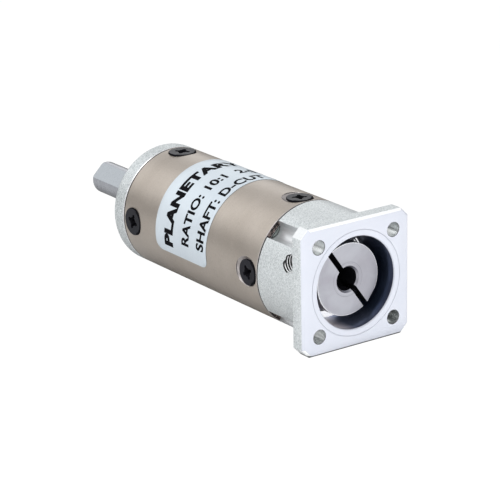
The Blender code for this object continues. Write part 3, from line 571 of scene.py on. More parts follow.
def label_film():
    mat = Material("label_film")
    fibre = mat.noise(scale=2600)
    sheen = mat.noise(scale=90, detail=2.0, rough=0.5)
    brushed = mat.lines(mat.along, drift=0.0006, scale=5200)
    colour = mat.fade((0.56, 0.63, 0.69), (0.62, 0.69, 0.745), sheen)
    colour = mat.fade(colour, (0.73, 0.80, 0.84), brushed, start=0.35, top=0.25)
    return mat.finish(
        colour, rough=mat.span(fibre, first=0.38, last=0.5), metallic=0.22,
        normal=mat.bump(mat.maths("ADD", fibre, brushed), strength=0.08),
        Coat_Weight=0.12, Coat_Roughness=0.25,
    )


def label_ink():
    mat = Material("label_ink")
    grain = mat.noise(scale=5200)
    band = mat.noise(scale=1400, detail=2.0, rough=0.5)
    colour = mat.fade((0.003, 0.003, 0.004), (0.008, 0.008, 0.010), grain, start=0.35)
    colour = mat.fade(colour, (0.014, 0.014, 0.017), band, start=0.55, end=0.8, top=0.3)
    return mat.finish(
        colour, rough=mat.span(grain, first=0.6, last=0.8), metallic=0.0,
        normal=mat.bump(grain, strength=0.1, distance=0.000006), Specular_IOR_Level=0.03,
    )


def rubber():
    mat = Material("nitrile_rubber")
    grain = mat.noise(scale=4200, detail=4.0, rough=0.7)
    bloom = mat.noise(scale=700)
    colour = mat.fade((0.012, 0.012, 0.013), (0.045, 0.045, 0.048), bloom, start=0.4, end=0.75)
    normal = mat.bump(grain, strength=0.35, distance=0.00002)
    return mat.finish(colour, rough=mat.span(grain, first=0.5, last=0.72), metallic=0.0, normal=normal)


def gear_steel():
    mat = Material("gear_steel_fine")
    hob = mat.noise(scale=3200, vector=mat.stretched((1.0, 6.0, 6.0)))
    temper = mat.noise(scale=420)
    colour = mat.fade((0.36, 0.355, 0.36), (0.52, 0.52, 0.53), temper, start=0.35)
    colour, smooth = mat.wear(colour, (0.8, 0.8, 0.81), radius=0.00006, strength=0.6)
    normal = mat.bump(hob, strength=0.25, normal=smooth)
    return mat.finish(colour, rough=mat.span(hob, first=0.26, last=0.42), metallic=0.95, normal=normal)


def bearing_steel():
    mat = Material("bearing_steel_fine")
    hone = mat.lines(mat.radius, across=mat.along, drift=0.0001, scale=9000, detail=2.0)
    cloud = mat.noise(scale=500, detail=2.0, rough=0.5)
    colour = mat.fade((0.62, 0.62, 0.64), (0.74, 0.74, 0.76), cloud, start=0.35)
    normal = mat.bump(hone, strength=0.1, distance=0.000006)
    return mat.finish(colour, rough=mat.span(hone, first=0.10, last=0.2), metallic=1.0, normal=normal)


def brass_cage():
    mat = Material("brass_cage_fine")
    press = mat.noise(scale=1600, detail=4.0)
    stain = mat.noise(scale=500)
    colour = mat.fade((0.62, 0.46, 0.18), (0.48, 0.34, 0.14), stain, start=0.35)
    rough = mat.span(press, first=0.26, last=0.42)
    return mat.finish(colour, rough, metallic=0.95, normal=mat.bump(press, strength=0.15))


def spring_steel():
    mat = Material("spring_steel_fine")
    oil = mat.noise(scale=900, detail=4.0)
    grain = mat.noise(scale=6000, detail=2.0)
    colour = mat.fade((0.09, 0.09, 0.10), (0.19, 0.185, 0.19), oil, start=0.35)
    rough = mat.span(grain, first=0.3, last=0.45)
    return mat.finish(colour, rough, metallic=0.85, normal=mat.bump(grain, strength=0.2))


BLASTED, FACE, BORE, CUT = blasted_aluminium(), machined_face(), polished_bore(), bright_cut()
NICKEL, OXIDE, TURNED = nickel_barrel(), black_oxide(), turned_steel()
SHAFT, FLAT = ground_shaft(), milled_flat()
PAINTED_SHADE, FILM, INK, RUBBER = painted_shade_recess(), label_film(), label_ink(), rubber()
GEAR, RACE, BRASS, SPRING = gear_steel(), bearing_steel(), brass_cage(), spring_steel()
SUNK, HOLE, THREAD, SHOULDER = sunk_steel(), hole_wall(), thread_wall(), shoulder_steel()
STEP, SEAM, EDGE = step_ring(), seam_shadow(), milled_edge()
BARREL_FACE, GROOVE = barrel_end_steel(), groove_wall()


# ======================================================================
# mesh helpers
# ======================================================================
def circle(radius, steps, turn=0.0):
    return [
        (radius * math.cos(2 * math.pi * k / steps), radius * math.sin(2 * math.pi * k / steps))
        for k in range(steps)
    ]


def lathe(profile, steps=160, closed=True):
    """Turns a profile of (x, radius) points about the X axis."""
    solid = bmesh.new()
    rings = []
    for x, radius in profile:
        spots = [(0.0, 0.0)] if radius <= 1e-9 else circle(radius, steps)
        rings.append([solid.verts.new((x, y, z)) for y, z in spots])
    pairs = list(zip(rings, rings[1:]))
    if closed:
        pairs.append((rings[-1], rings[0]))
    for near, far in pairs:
        if len(near) == 1 and len(far) == 1:
            continue
        for k in range(steps):
            j = (k + 1) % steps
            if len(near) == 1:
                solid.faces.new((near[0], far[j], far[k]))
            elif len(far) == 1:
                solid.faces.new((near[k], near[j], far[0]))
            else:
                solid.faces.new((near[k], near[j], far[j], far[k]))
    bmesh.ops.recalc_face_normals(solid, faces=solid.faces)
    return solid


def moved(solid, matrix):
    bmesh.ops.transform(solid, matrix=matrix, verts=solid.verts)
    return solid


def upright(profile, steps, closed=False):
    """A lathe about Z, from (height, radius) points."""
    return moved(lathe(profile, steps, closed), Matrix.Rotation(math.radians(-90), 4, "Y"))


def cone_bar(points, steps=48):
    """A solid turned about Z from (height, radius) points, closed at both ends."""
    return upright([(points[0][0], 0.0)] + points + [(points[-1][0], 0.0)], steps)


def loft(loops):
    """Skins a stack of outlines of equal length and caps both ends."""
    solid = bmesh.new()
    rows = [[solid.verts.new(point) for point in loop] for loop in loops]
    count = len(rows[0])
    for near, far in zip(rows, rows[1:]):
        for k in range(count):
            j = (k + 1) % count
            solid.faces.new((near[k], near[j], far[j], far[k]))
    solid.faces.new(rows[0])
    solid.faces.new(list(reversed(rows[-1])))
    bmesh.ops.recalc_face_normals(solid, faces=solid.faces)
    return solid


def box_mesh(low, high):
    solid = bmesh.new()
    bmesh.ops.create_cube(solid, size=1.0)
    bmesh.ops.scale(solid, vec=[b - a for a, b in zip(low, high)], verts=solid.verts)
    bmesh.ops.translate(solid, vec=[(a + b) / 2 for a, b in zip(low, high)], verts=solid.verts)
    return solid


def together(parts):
    solid = bmesh.new()
    for part in parts:
        scratch = bpy.data.meshes.new("scratch")
        part.to_mesh(scratch)
        part.free()
        solid.from_mesh(scratch)
        bpy.data.meshes.remove(scratch)
    return solid


def raw(solid, name="work"):
    mesh = bpy.data.meshes.new(name)
    solid.to_mesh(mesh)
    solid.free()
    obj = bpy.data.objects.new(name, mesh)
    bpy.context.scene.collection.objects.link(obj)
    return obj


def evaluated_mesh(obj):
    graph = bpy.context.evaluated_depsgraph_get()
    graph.update()
    return bpy.data.meshes.new_from_object(obj.evaluated_get(graph))


def boolean(obj, solid, operation="DIFFERENCE"):
    """Applies one Boolean and drops the cutter."""
    cutter = raw(solid)
    modifier = obj.modifiers.new("cut", "BOOLEAN")
    modifier.operation = operation
    modifier.solver = "EXACT"
    modifier.object = cutter
    baked = evaluated_mesh(obj)
    obj.modifiers.clear()
    old, obj.data = obj.data, baked
    bpy.data.meshes.remove(old)
    cutter_mesh = cutter.data
    bpy.data.objects.remove(cutter, do_unlink=True)
    bpy.data.meshes.remove(cutter_mesh)


def tidy(obj):
    solid = bmesh.new()
    solid.from_mesh(obj.data)
    bmesh.ops.remove_doubles(solid, verts=solid.verts, dist=2e-4)
    bmesh.ops.dissolve_degenerate(solid, edges=solid.edges, dist=1e-4)
    bmesh.ops.recalc_face_normals(solid, faces=solid.faces)
    solid.to_mesh(obj.data)
    solid.free()


def round_normals(mesh, radii):
    """Gives faces on a turned cylinder the cylinder's own normals, so long slivers do not show."""
    normals = [Vector(corner.vector) for corner in mesh.corner_normals]
    spots = [vertex.co for vertex in mesh.vertices]
    for face in mesh.polygons:
        if abs(face.normal.x) > 0.05:
            continue
        reach = [math.hypot(spots[v].y, spots[v].z) for v in face.vertices]
        outward = Vector((0.0, face.center.y, face.center.z))
        if outward.dot(face.normal) < 0.9 * outward.length:
            continue
        if any(all(abs(r - radius * MM) < 0.012 * MM for r in reach) for radius in radii):
            for loop, v in zip(face.loop_indices, face.vertices):
                normals[loop] = Vector((0.0, spots[v].y, spots[v].z)).normalized()
    mesh.normals_split_custom_set(normals)


def piece(obj, name, body, mats, rule=None, replaces=None, smooth=32.0, radii=()):
    """Paints a piece, places it in metres, parents it to its body's empty and hides the CAD part it
    replaces.

    mats maps a key to each material slot; rule gives the key for a face's middle and normal.
    Without a rule every face takes the first slot.
    """
    tidy(obj)
    mesh = obj.data
    mesh.materials.clear()
    for material in mats.values():
        mesh.materials.append(material)
    keys = list(mats)
    for face in mesh.polygons:
        face.material_index = keys.index(rule(face.center, face.normal)) if rule else 0
    mesh.transform(PLACE)
    mesh.shade_smooth()
    mesh.set_sharp_from_angle(angle=math.radians(smooth))
    if radii:
        round_normals(mesh, radii)
    obj.name = name
    mesh.name = name
    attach(obj, body)
    if replaces:
        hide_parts(replaces)


def turned(degrees):
    return Matrix.Rotation(math.radians(degrees), 4, "X")


def radial(angle):
    """Turns +Z outward to this angle from +Y towards +Z, about X."""
    return turned(angle - 90.0)


def arc(x, height, radius, start, end, steps):
    angles = [math.radians(start + (end - start) * k / steps) for k in range(steps + 1)]
    return [(x + radius * math.cos(a), height + radius * math.sin(a)) for a in angles]


def thread_tap(minor, major, pitch, start, end, steps=40, lead_in=None):
    """A helical thread as a cutter along +Z, with an optional chamfer at its top."""
    rows = int(round((end - start) / pitch * 10))
    loops = []
    for i in range(rows + 1):
        z = start + (end - start) * i / rows
        loop = []
        for k in range(steps):
            angle = 2 * math.pi * k / steps
            phase = ((z - start) / pitch - k / steps) % 1.0
            ridge = abs(2 * phase - 1)  # 0 where the cut is deepest, 1 where it is shallowest
            depth = min(1.0, max(0.0, (1 - ridge - 0.08) * 1.25))
            radius = minor + (major - minor) * depth
            if lead_in and z > end - lead_in:
                radius = max(radius, major + (z - (end - lead_in)) * 0.6)
            loop.append((radius * math.cos(angle), radius * math.sin(angle), z))
        loops.append(loop)
    return loft(loops)


def radial_cuts(x, outline):
    """The same (height, radius) cutter at all four screw angles."""
    places = [Matrix.Translation((x, 0, 0)) @ radial(angle) for angle in SCREW_ANGLES]
    return together([moved(cone_bar(outline, 56), place) for place in places])


def screw_holes(x, mouth):
    """Countersunk holes for four radial screws."""
    shank, neck = SHANK_R + 0.05, NECK - 0.05
    cone_end = neck + (mouth - SHANK_R - 0.05)
    outline = [(SHANK_TIP - 0.15, shank), (neck, shank), (cone_end, mouth), (CLEAR, mouth)]
    return radial_cuts(x, outline)


# ======================================================================
# motor adapter
# ======================================================================
PILOT_R = 8.0


def cut_square(inset, x):
    """The flange's square with its corners cut, drawn in by inset."""
    h = FLANGE_HALF - inset
    c = FLANGE_CORNER - inset * (2 - math.sqrt(2))
    return [
        (x, h, h - c), (x, h - c, h), (x, c - h, h), (x, -h, h - c),
        (x, -h, c - h), (x, c - h, -h), (x, h - c, -h), (x, h, c - h),
    ]


def at_bolts(outline, steps):
    """The same turned cutter on each of the four mounting hole lines."""
    spots = [(0, BOLT * y, BOLT * z) for y in (1, -1) for z in (1, -1)]
    return together([moved(lathe(outline, steps, closed=False), Matrix.Translation(s)) for s in spots])


# (x, radius)
ADAPTER_OUTSIDE = [
    (1.0, 0.0), (1.0, 10.4), (2.0, 10.4), (2.0, BODY_R), (12.6, BODY_R), (12.87, BODY_R),
    (ADAPTER_END, BODY_R - 0.05), (ADAPTER_END, SPIGOT_R), (18.1, SPIGOT_R), (18.4, 9.65), (18.4, 0.0),
]
ADAPTER_INSIDE = [
    (-1.0, 0.0), (-1.0, 8.28), (0.0, 8.28), (0.08, 8.12), (0.28, PILOT_R), (7.5, PILOT_R), (8.0, 7.5),
    (8.0, 7.04), (12.35, 7.04), (12.35, 6.2), (19.0, 6.2), (19.0, 0.0),
]
# (inset, x) of the flange's outline, from the mounting face back
FLANGE_LEVELS = [
    (FLANGE_BEVEL + 0.02, 0.0), (FLANGE_BEVEL - 0.02, 0.015), (0.02, FLANGE_BEVEL - 0.01),
    (0.0, FLANGE_BEVEL + 0.03), (0.0, FLANGE_T - 0.12), (0.1, FLANGE_T),
]
MOUNTING_HOLE = [
    (-0.5, 0.0), (-0.5, 1.29), (0.0, 1.29), (0.07, 1.215), (2.6, 1.205), (3.4, 1.205), (3.4, 0.0),
]
BOLT_CHANNEL = [
    (FLANGE_T, 0.0), (FLANGE_T, BOLT_GROOVE_R), (ADAPTER_END + 0.001, BOLT_GROOVE_R),
    (ADAPTER_END + 0.001, 0.0),
]

adapter = raw(lathe(ADAPTER_OUTSIDE, 192, closed=False))
boolean(adapter, loft([cut_square(inset, x) for inset, x in FLANGE_LEVELS]), "UNION")
boolean(adapter, lathe(ADAPTER_INSIDE, 160, closed=False))
# a shallow ring scribed in the face
boolean(adapter, lathe([(-0.05, 8.98), (0.10, 9.1), (-0.05, 9.22)], 160))
boolean(adapter, at_bolts(MOUNTING_HOLE, 48))
boolean(adapter, at_bolts(BOLT_CHANNEL, 64))
tap_line = Matrix.Translation((TAP_X, 0, TAP_Z)) @ turned(-90)
side_tap = thread_tap(minor=1.42, major=1.72, pitch=0.5, start=5.0, end=11.6)
boolean(adapter, moved(side_tap, tap_line))
boolean(adapter, screw_holes(ADAPTER_SCREW_X, HEAD_R + 0.1))


def adapter_paint(mid, normal):
    radius = math.hypot(mid.y, mid.z)
    from_bolt = math.hypot(abs(mid.y) - BOLT, abs(mid.z) - BOLT)
    # mounting holes, with painted shade on the bevel at the mouth
    if 1.2 < from_bolt < 1.3 and mid.x < 0.08 and normal.x > -0.98:
        return "seam"
    if from_bolt < 1.3 and mid.x < FLANGE_T - 0.01 and normal.x > -0.98:
        return "hole"
    # the ends and walls of the bolt channels
    if 12.85 < mid.x < 12.95 and from_bolt < 1.72 and radius < 10.2:
        return "shoulder"
    # painted shade on the bevel at the joint with the barrel
    if mid.x > 12.6 and radius > 10.7:
        return "seam"
    if FLANGE_T < mid.x < ADAPTER_END and 1.66 < from_bolt < 1.72 and abs(normal.x) < 0.1:
        return "groove"
    # the tapped side hole
    outward = (mid.y * normal.y + mid.z * normal.z) / radius
    if mid.y > 7.6 and math.hypot(mid.x - TAP_X, mid.z - TAP_Z) < 1.73 and outward < 0.94:
        return "thread"
    # the inside: behind the step, the step itself and the pilot bore
    if 8.0 < mid.x <= 18.5 and radius < 9.9:
        return "cut"
    if 0.2 < mid.x < 8.02 and radius <= PILOT_R + 0.02:
        return "step" if mid.x > 7.45 else "bore"
    # the flange's upper bevel, its corner cuts and its front; the upper bevel takes the bright milled
    # material as a painted highlight, the lower bevel takes it for its painted shade
    if mid.x < FLANGE_T and radius > 9.3 and -0.95 < normal.x < -0.3 and normal.z > 0.6:
        return "edge"
    diagonal = abs(abs(normal.y) - abs(normal.z)) < 0.1
    if mid.x < FLANGE_T and abs(normal.x) < 0.2 and diagonal and radius > 13.5:
        return "edge"
    if normal.x < -0.3 and mid.x < 0.6:
        return "edge" if normal.z < -0.4 and radius > 9.3 else "face"
    return "body"


ADAPTER_MATERIALS = {
    "body": BLASTED, "face": FACE, "bore": BORE, "cut": CUT, "hole": HOLE, "thread": THREAD,
    "shoulder": SHOULDER, "step": STEP, "edge": EDGE, "seam": SEAM, "groove": GROOVE,
}
piece(
    adapter, "motor_adapter_body", "housing", ADAPTER_MATERIALS, adapter_paint,
    replaces="motor_adapter", radii=(BODY_R,),
)

# ======================================================================
# barrel with the ring gear inside
# ======================================================================
MODULE, RING_TEETH, PLANET_TEETH = 0.4, 45, 12
RING_PITCH_R = MODULE * RING_TEETH / 2
RING_TIP_R = 8.76
PRESSURE = math.radians(20)
BACKLASH = 0.11
GEAR_START, GEAR_END = 18.8, 45.3
# turned to mesh with a planet at 90 degrees
RING_PHASE = math.radians(90.0) + math.pi * (PLANET_TEETH + 1) / RING_TEETH


def involute(angle):
    return math.tan(angle) - angle


def ring_gear_outline(flank=4):
    """The hollow inside the ring gear: involute spaces, widened by the backlash."""
    base_r = RING_PITCH_R * math.cos(PRESSURE)
    width = math.pi * MODULE / 2 + BACKLASH
    bottom_r = RING_PITCH_R + 1.1 * MODULE
    side = []
    for k in range(flank + 1):
        radius = RING_TIP_R + (bottom_r - RING_TIP_R) * k / flank
        roll = involute(PRESSURE) - involute(math.acos(base_r / radius))
        side.append((radius, width / (2 * RING_PITCH_R) + roll))
    points = []
    for k in range(RING_TEETH):
        centre = RING_PHASE + 2 * math.pi * k / RING_TEETH
        points += [(radius, centre - half) for radius, half in side]
        points += [(radius, centre + half) for radius, half in reversed(side)]
    return [(radius * math.cos(angle), radius * math.sin(angle)) for radius, angle in points]


# (x, radius)
BARREL_PROFILE = [
    (BARREL_START, BARREL_BORE_R), (BARREL_START, BODY_R - 0.09), (BARREL_START + 0.09, BODY_R),
    (BARREL_END - 0.3, BODY_R), (BARREL_END - 0.03, BODY_R), (BARREL_END, BODY_R - 0.05),
    (BARREL_END, BARREL_BORE_R), (GEAR_END, BARREL_BORE_R), (GEAR_END, 8.0),
    (GEAR_START, 8.0), (GEAR_START, BARREL_BORE_R),
]
barrel = raw(lathe(BARREL_PROFILE, 224))
gear_outline = ring_gear_outline()
boolean(barrel, loft([[(x, y, z) for y, z in gear_outline] for x in (18.0, 46.0)]))
boolean(barrel, screw_holes(COVER_SCREW_X, HEAD_R + 0.1))
boolean(barrel, screw_holes(ADAPTER_SCREW_X, HEAD_R + 0.03))
# lengthens the adapter screws' countersinks towards the output
relief_r = HEAD_R + 0.34
relief = [(10.05, relief_r - 0.85), (10.62, relief_r - 0.28), (10.8, relief_r - 0.05), (CLEAR, relief_r)]
boolean(barrel, radial_cuts(ADAPTER_SCREW_X + 0.56, relief))


def barrel_paint(mid, normal):
    radius = math.hypot(mid.y, mid.z)
    if mid.x < BARREL_START + 0.01 and normal.x < -0.9:
        return "end"
    if radius > 10.7 and mid.x < BARREL_START + 0.09 and normal.x < -0.2:
        return "bevel"
    # painted shade on the bevel at the joint with the cover
    if radius > 10.7 and mid.x > BARREL_END - 0.29:
        return "seam"
    if radius < 9.5:
        return "gear"
    if radius > BODY_R - 0.02:
        return "body"
    near_screw = any(abs(mid.x - x) < 3.6 for x in (COVER_SCREW_X, ADAPTER_SCREW_X))
    if near_screw and abs(normal.x) < 0.999 and BARREL_START + 0.3 < mid.x < BARREL_END - 0.3:
        return "sunk"
    return "body"


BARREL_MATERIALS = {
    "body": NICKEL, "sunk": SUNK, "gear": GEAR, "end": BARREL_FACE, "seam": SEAM, "bevel": SUNK,
}
piece(
    barrel, "ring_gear_barrel_shell", "housing", BARREL_MATERIALS, barrel_paint,
    replaces="ring_gear_barrel", radii=(BODY_R,),
)

# ======================================================================
# output cover
# ======================================================================
TAP_CIRCLE_R, TAP_DEPTH = 8.0, 4.0

# (x, radius)
COVER_PROFILE = [
    (45.35, 6.04), (45.35, 9.65), (45.65, SPIGOT_R), (RIM_START, SPIGOT_R),
    (RIM_START, BODY_R - 0.17), (RIM_START + 0.2, BODY_R),
    *arc(RIM_END - 0.4, BODY_R - 0.4, radius=0.4, start=90, end=0, steps=5),
    (RIM_END, BOSS_R + 0.12), (RIM_END + 0.12, BOSS_R),
    *arc(BOSS_END - 0.25, BOSS_R - 0.25, radius=0.25, start=90, end=0, steps=4),
    (BOSS_END, 4.8), (BOSS_END - 0.2, 4.6), (56.1, 4.6), (56.1, 6.04),
]
cover = raw(lathe(COVER_PROFILE, 192))
boolean(cover, screw_holes(COVER_SCREW_X, HEAD_R + 0.1))
for k in range(4):
    angle = math.radians(45 + 90 * k)
    tap = thread_tap(
        minor=1.02, major=1.24, pitch=0.45, start=0.0, end=TAP_DEPTH + 0.05, steps=32, lead_in=0.25
    )
    tap = moved(tap, Matrix.Rotation(math.radians(90), 4, "Y"))
    spot = (RIM_END - TAP_DEPTH, TAP_CIRCLE_R * math.cos(angle), TAP_CIRCLE_R * math.sin(angle))
    boolean(cover, moved(tap, Matrix.Translation(spot)))


def cover_paint(mid, normal):
    radius = math.hypot(mid.y, mid.z)
    if normal.x > 0.9 and mid.x > RIM_END - 0.05:
        return "front"
    bevel = radius > 10.8 and mid.x < RIM_START + 0.2 and normal.x < -0.3
    spigot_or_tap = radius < 9.9 and mid.x < RIM_END - 0.2
    return "cut" if bevel or spigot_or_tap or radius < 4.79 else "body"


piece(
    cover, "output_cover_body", "housing",
    {"body": BLASTED, "front": BLASTED, "cut": CUT}, cover_paint,
    replaces="output_cover", radii=(BODY_R, BOSS_R),
)


# ======================================================================
# countersunk screws
# ======================================================================
def cross_loop(scale, z, arm=1.36, width=0.34, corner=0.16):
    """A cross with rounded arm ends and rounded inner corners, as one loop."""
    arm_end = [math.radians(-90 + 180 * k / 4) for k in range(5)]
    inner = [math.radians(270 - 90 * k / 3) for k in range(4)]
    side = width + corner
    quarter = [(arm - width + width * math.cos(a), width * math.sin(a)) for a in arm_end]
    quarter += [(side + corner * math.cos(a), side + corner * math.sin(a)) for a in inner]
    points = []
    for k in range(4):
        cos, sin = math.cos(math.radians(90 * k)), math.sin(math.radians(90 * k))
        points += [(x * cos - y * sin, x * sin + y * cos) for x, y in quarter]
    return [(x * scale, y * scale, z) for x, y in points]


def make_screw():
    thread = [(SHANK_TIP + 0.3 + 0.225 * k, SHANK_R - (0.16 if k % 2 else 0.0)) for k in range(1, 11)]
    # (height, radius)
    profile = [
        (SHANK_TIP, 0.0), (SHANK_TIP, SHANK_R - 0.35), (SHANK_TIP + 0.3, SHANK_R - 0.06), *thread,
        (NECK - 0.1, SHANK_R - 0.02), (NECK, SHANK_R), (CONE_TOP - 0.02, HEAD_R - 0.02),
        (CONE_TOP + 0.02, HEAD_R),
        *arc(HEAD_TOP - 0.1, HEAD_R - 0.1, radius=0.1, start=90, end=10, steps=4),
        (HEAD_TOP, HEAD_R - 0.12), (HEAD_TOP, HEAD_R - 0.32), (HEAD_TOP, HEAD_R - 0.6), (HEAD_TOP, 0.0),
    ]
    screw = raw(upright(profile, 72))
    recess = [
        cross_loop(0.42, HEAD_TOP - 1.25, arm=1.3), cross_loop(0.68, HEAD_TOP - 0.8),
        cross_loop(1.0, HEAD_TOP - 0.08), cross_loop(1.1, HEAD_TOP + 0.2),
    ]
    boolean(screw, loft(recess))
    dimple = [(HEAD_TOP - 1.3, 0.35), (HEAD_TOP - 0.5, 0.62), (HEAD_TOP + 0.2, 0.95)]
    boolean(screw, cone_bar(dimple, 40))
    return screw


def screw_paint(x, degrees, size):
    """The driver's cross, the head's rim and a band on the motor side are painted dark as shade."""
    cos, sin = math.cos(math.radians(degrees)), math.sin(math.radians(degrees))

    def rule(mid, normal):
        height = mid.y * cos + mid.z * sin
        across = math.hypot(mid.x - x, mid.y * sin - mid.z * cos) / size
        cross = across < 1.7 and height < HEAD_TOP - 0.003
        rim = across > HEAD_R - 0.14 and height < HEAD_TOP - 0.012
        motor_side_painted_shadow = across > HEAD_R - 0.3 and mid.x - x < -0.45 * across
        return "dark" if cross or rim or motor_side_painted_shadow else "body"

    return rule


# label, x, size across, each screw's turn about its own axis in degrees
SCREW_SETS = (
    ("cover_screw", COVER_SCREW_X, 1.02, (38, 72, 15, 50)),
    ("adapter_screw", ADAPTER_SCREW_X, 0.94, (62, 28, 80, 8)),
)
pattern = make_screw()
tidy(pattern)
for label, x, size, yaws in SCREW_SETS:
    for i, (angle, yaw) in enumerate(zip(SCREW_ANGLES, yaws)):
        part = f"{label}_{i + 1}"
        screw = bpy.data.objects.new(f"{part}_black", pattern.data.copy())
        bpy.context.scene.collection.objects.link(screw)
        spin = Matrix.Rotation(math.radians(yaw), 4, "Z") @ Matrix.Diagonal((size, size, 1.0, 1.0))
        screw.data.transform(Matrix.Translation((x, 0, 0)) @ radial(angle) @ spin)
        piece(
            screw, screw.name, "housing", {"body": OXIDE, "dark": PAINTED_SHADE},
            screw_paint(x, angle, size), replaces=part, smooth=38,
        )
bpy.data.objects.remove(pattern, do_unlink=True)

# ======================================================================
# label
# ======================================================================
LABEL_X, LABEL_ANGLES, LABEL_CORNER = (27.75, 43.3), (-15.0, 190.0), 1.6
# (radius, inset of the two long edges) of the film's underside, shoulder and top
LABEL_LAYERS = ((11.03, 0.0), (11.065, 0.0), (11.08, 0.04))
INK_R = 11.087


def wrap(x, length, radius):
    """A point at this length round the barrel."""
    angle = length / BODY_R
    return (x, radius * math.cos(angle), radius * math.sin(angle))


def make_label(corner_steps=12, round_steps=150, cols=12):
    low, high = (math.radians(angle) * BODY_R for angle in LABEL_ANGLES)
    straight = high - low - 2 * LABEL_CORNER
    corner = [
        LABEL_CORNER * (1 - math.cos(math.radians(90 * k / corner_steps)))
        for k in range(corner_steps + 1)
    ]
    stations = [low + step for step in corner]
    stations += [low + LABEL_CORNER + straight * k / round_steps for k in range(1, round_steps)]
    stations += [high - step for step in reversed(corner)]
    solid = bmesh.new()
    layers = []
    for radius, pull in LABEL_LAYERS:
        rows = []
        for length in stations:
            from_end = min(length - low, high - length)
            inset = 0.0
            if from_end < LABEL_CORNER:
                chord = max(0.0, LABEL_CORNER**2 - (LABEL_CORNER - from_end) ** 2)
                inset = LABEL_CORNER - math.sqrt(chord)
            x0, x1 = LABEL_X[0] + inset + pull, LABEL_X[1] - inset - pull
            spots = [wrap(x0 + (x1 - x0) * k / cols, length, radius) for k in range(cols + 1)]
            rows.append([solid.verts.new(spot) for spot in spots])
        layers.append(rows)
    bottom, middle, top = layers
    sides = ((bottom, middle), (middle, top))
    for i in range(len(stations) - 1):
        j = i + 1
        for k in range(cols):
            solid.faces.new((top[i][k], top[i][k + 1], top[j][k + 1], top[j][k]))
            solid.faces.new((bottom[i][k + 1], bottom[i][k], bottom[j][k], bottom[j][k + 1]))
        for lower, upper in sides:
            for k in (0, cols):
                solid.faces.new((lower[i][k], upper[i][k], upper[j][k], lower[j][k]))
    for i in (0, len(stations) - 1):
        for lower, upper in sides:
            for k in range(cols):
                solid.faces.new((lower[i][k], lower[i][k + 1], upper[i][k + 1], upper[i][k]))
    bmesh.ops.recalc_face_normals(solid, faces=solid.faces)
    return raw(solid)


piece(
    make_label(), "rating_label_film", "housing", {"body": FILM},
    replaces="rating_label", smooth=40,
)


def printed_row(text, base_x, cap, start, weight, stretch, gap, slice_width=0.35):
    """Lettering laid round the barrel: it runs up over the top, its head towards the output."""
    curve = bpy.data.curves.new("row", "FONT")
    curve.body = text
    curve.size = cap / 0.73  # the font's capitals are 0.73 of its size
    curve.offset = weight
    curve.space_character = gap
    curve.extrude = 0.006
    curve.resolution_u = 6
    holder = bpy.data.objects.new("row", curve)
    bpy.context.scene.collection.objects.link(holder)
    flat = evaluated_mesh(holder)
    bpy.data.objects.remove(holder, do_unlink=True)
    solid = bmesh.new()
    solid.from_mesh(flat)
    bpy.data.meshes.remove(flat)
    bmesh.ops.remove_doubles(solid, verts=solid.verts, dist=1e-5)
    bmesh.ops.scale(solid, vec=(stretch, 1, 1), verts=solid.verts)
    low = min(vertex.co.x for vertex in solid.verts)
    high = max(vertex.co.x for vertex in solid.verts)
    # sliced so that it can bend
    x = low + slice_width
    while x < high:
        geom = list(solid.verts) + list(solid.edges) + list(solid.faces)
        bmesh.ops.bisect_plane(solid, geom=geom, plane_co=(x, 0, 0), plane_no=(1, 0, 0), dist=1e-6)
        x += slice_width
    begin = math.radians(start) * BODY_R
    for vertex in solid.verts:
        x, y, z = vertex.co
        vertex.co = Vector(wrap(base_x + y, begin + (x - low), INK_R + z))
    bmesh.ops.recalc_face_normals(solid, faces=solid.faces)
    return solid


SMALL_PRINT = dict(cap=2.12, weight=0.10, stretch=1.02, gap=1.04)
rows = [
    printed_row("PLANETARY", base_x=38.05, cap=2.4, start=-8.0, weight=0.19, stretch=1.22, gap=1.06),
    printed_row("RATIO: 10:1  2-STAGE", base_x=33.05, start=-1.0, **SMALL_PRINT),
    printed_row("SHAFT: D-CUT  STEEL", base_x=28.6, start=0.0, **SMALL_PRINT),
]
piece(raw(together(rows)), "rating_label_print", "housing", {"body": INK}, smooth=40)

# ======================================================================
# input hub and its clamp screw
# ======================================================================
SLOT_ANGLE, SLOT_HALF, SLOT_END = 54.4, 0.5, 7.2
HUB_R, HUB_START = 6.3, 2.35
CLAMP_R, CLAMP_HEAD_R = 0.98, 1.78

# (x, radius)
HUB_PROFILE = [
    (HUB_START, 2.35), (HUB_START, 2.90), (2.37, 2.93), (2.37, 2.97), (HUB_START, 3.0),
    (HUB_START, 6.2), (2.38, 6.27), (2.45, HUB_R), (7.7, HUB_R), (7.7, 4.8), (8.25, 4.8), (8.25, 4.0),
    (12.5, 4.0), (12.5, 3.6), (13.1, 3.6), (13.1, 4.0), (13.6, 4.0), (13.6, 2.75), (27.25, 2.75),
    (27.45, 2.55), (27.45, 0.0), (15.4, 0.0), (15.4, 2.05), (2.72, 2.05),
]
hub = raw(lathe(HUB_PROFILE, 144, closed=False))
# the profile starts and ends off the axis at the bore's mouth, so its two end rings are joined
solid = bmesh.new()
solid.from_mesh(hub.data)
bmesh.ops.bridge_loops(solid, edges=[edge for edge in solid.edges if edge.is_boundary])
bmesh.ops.recalc_face_normals(solid, faces=solid.faces)
solid.to_mesh(hub.data)
solid.free()
hub_turn = turned(SLOT_ANGLE + 180.0)
boolean(hub, moved(box_mesh((1.0, -8, -SLOT_HALF), (SLOT_END, 8, SLOT_HALF)), hub_turn))
# the clamp screw crosses the slot; its head is at the +Z end of this frame
across_slot = Matrix.Translation((TAP_X, TAP_Z, 0)) @ Matrix.Rotation(math.pi, 4, "X")
screw_line = hub_turn @ across_slot
clamp_hole = [(-8.0, 1.05), (1.77, 1.05), (1.77, 2.0), (8.0, 2.0)]
boolean(hub, moved(cone_bar(clamp_hole, 48), screw_line))
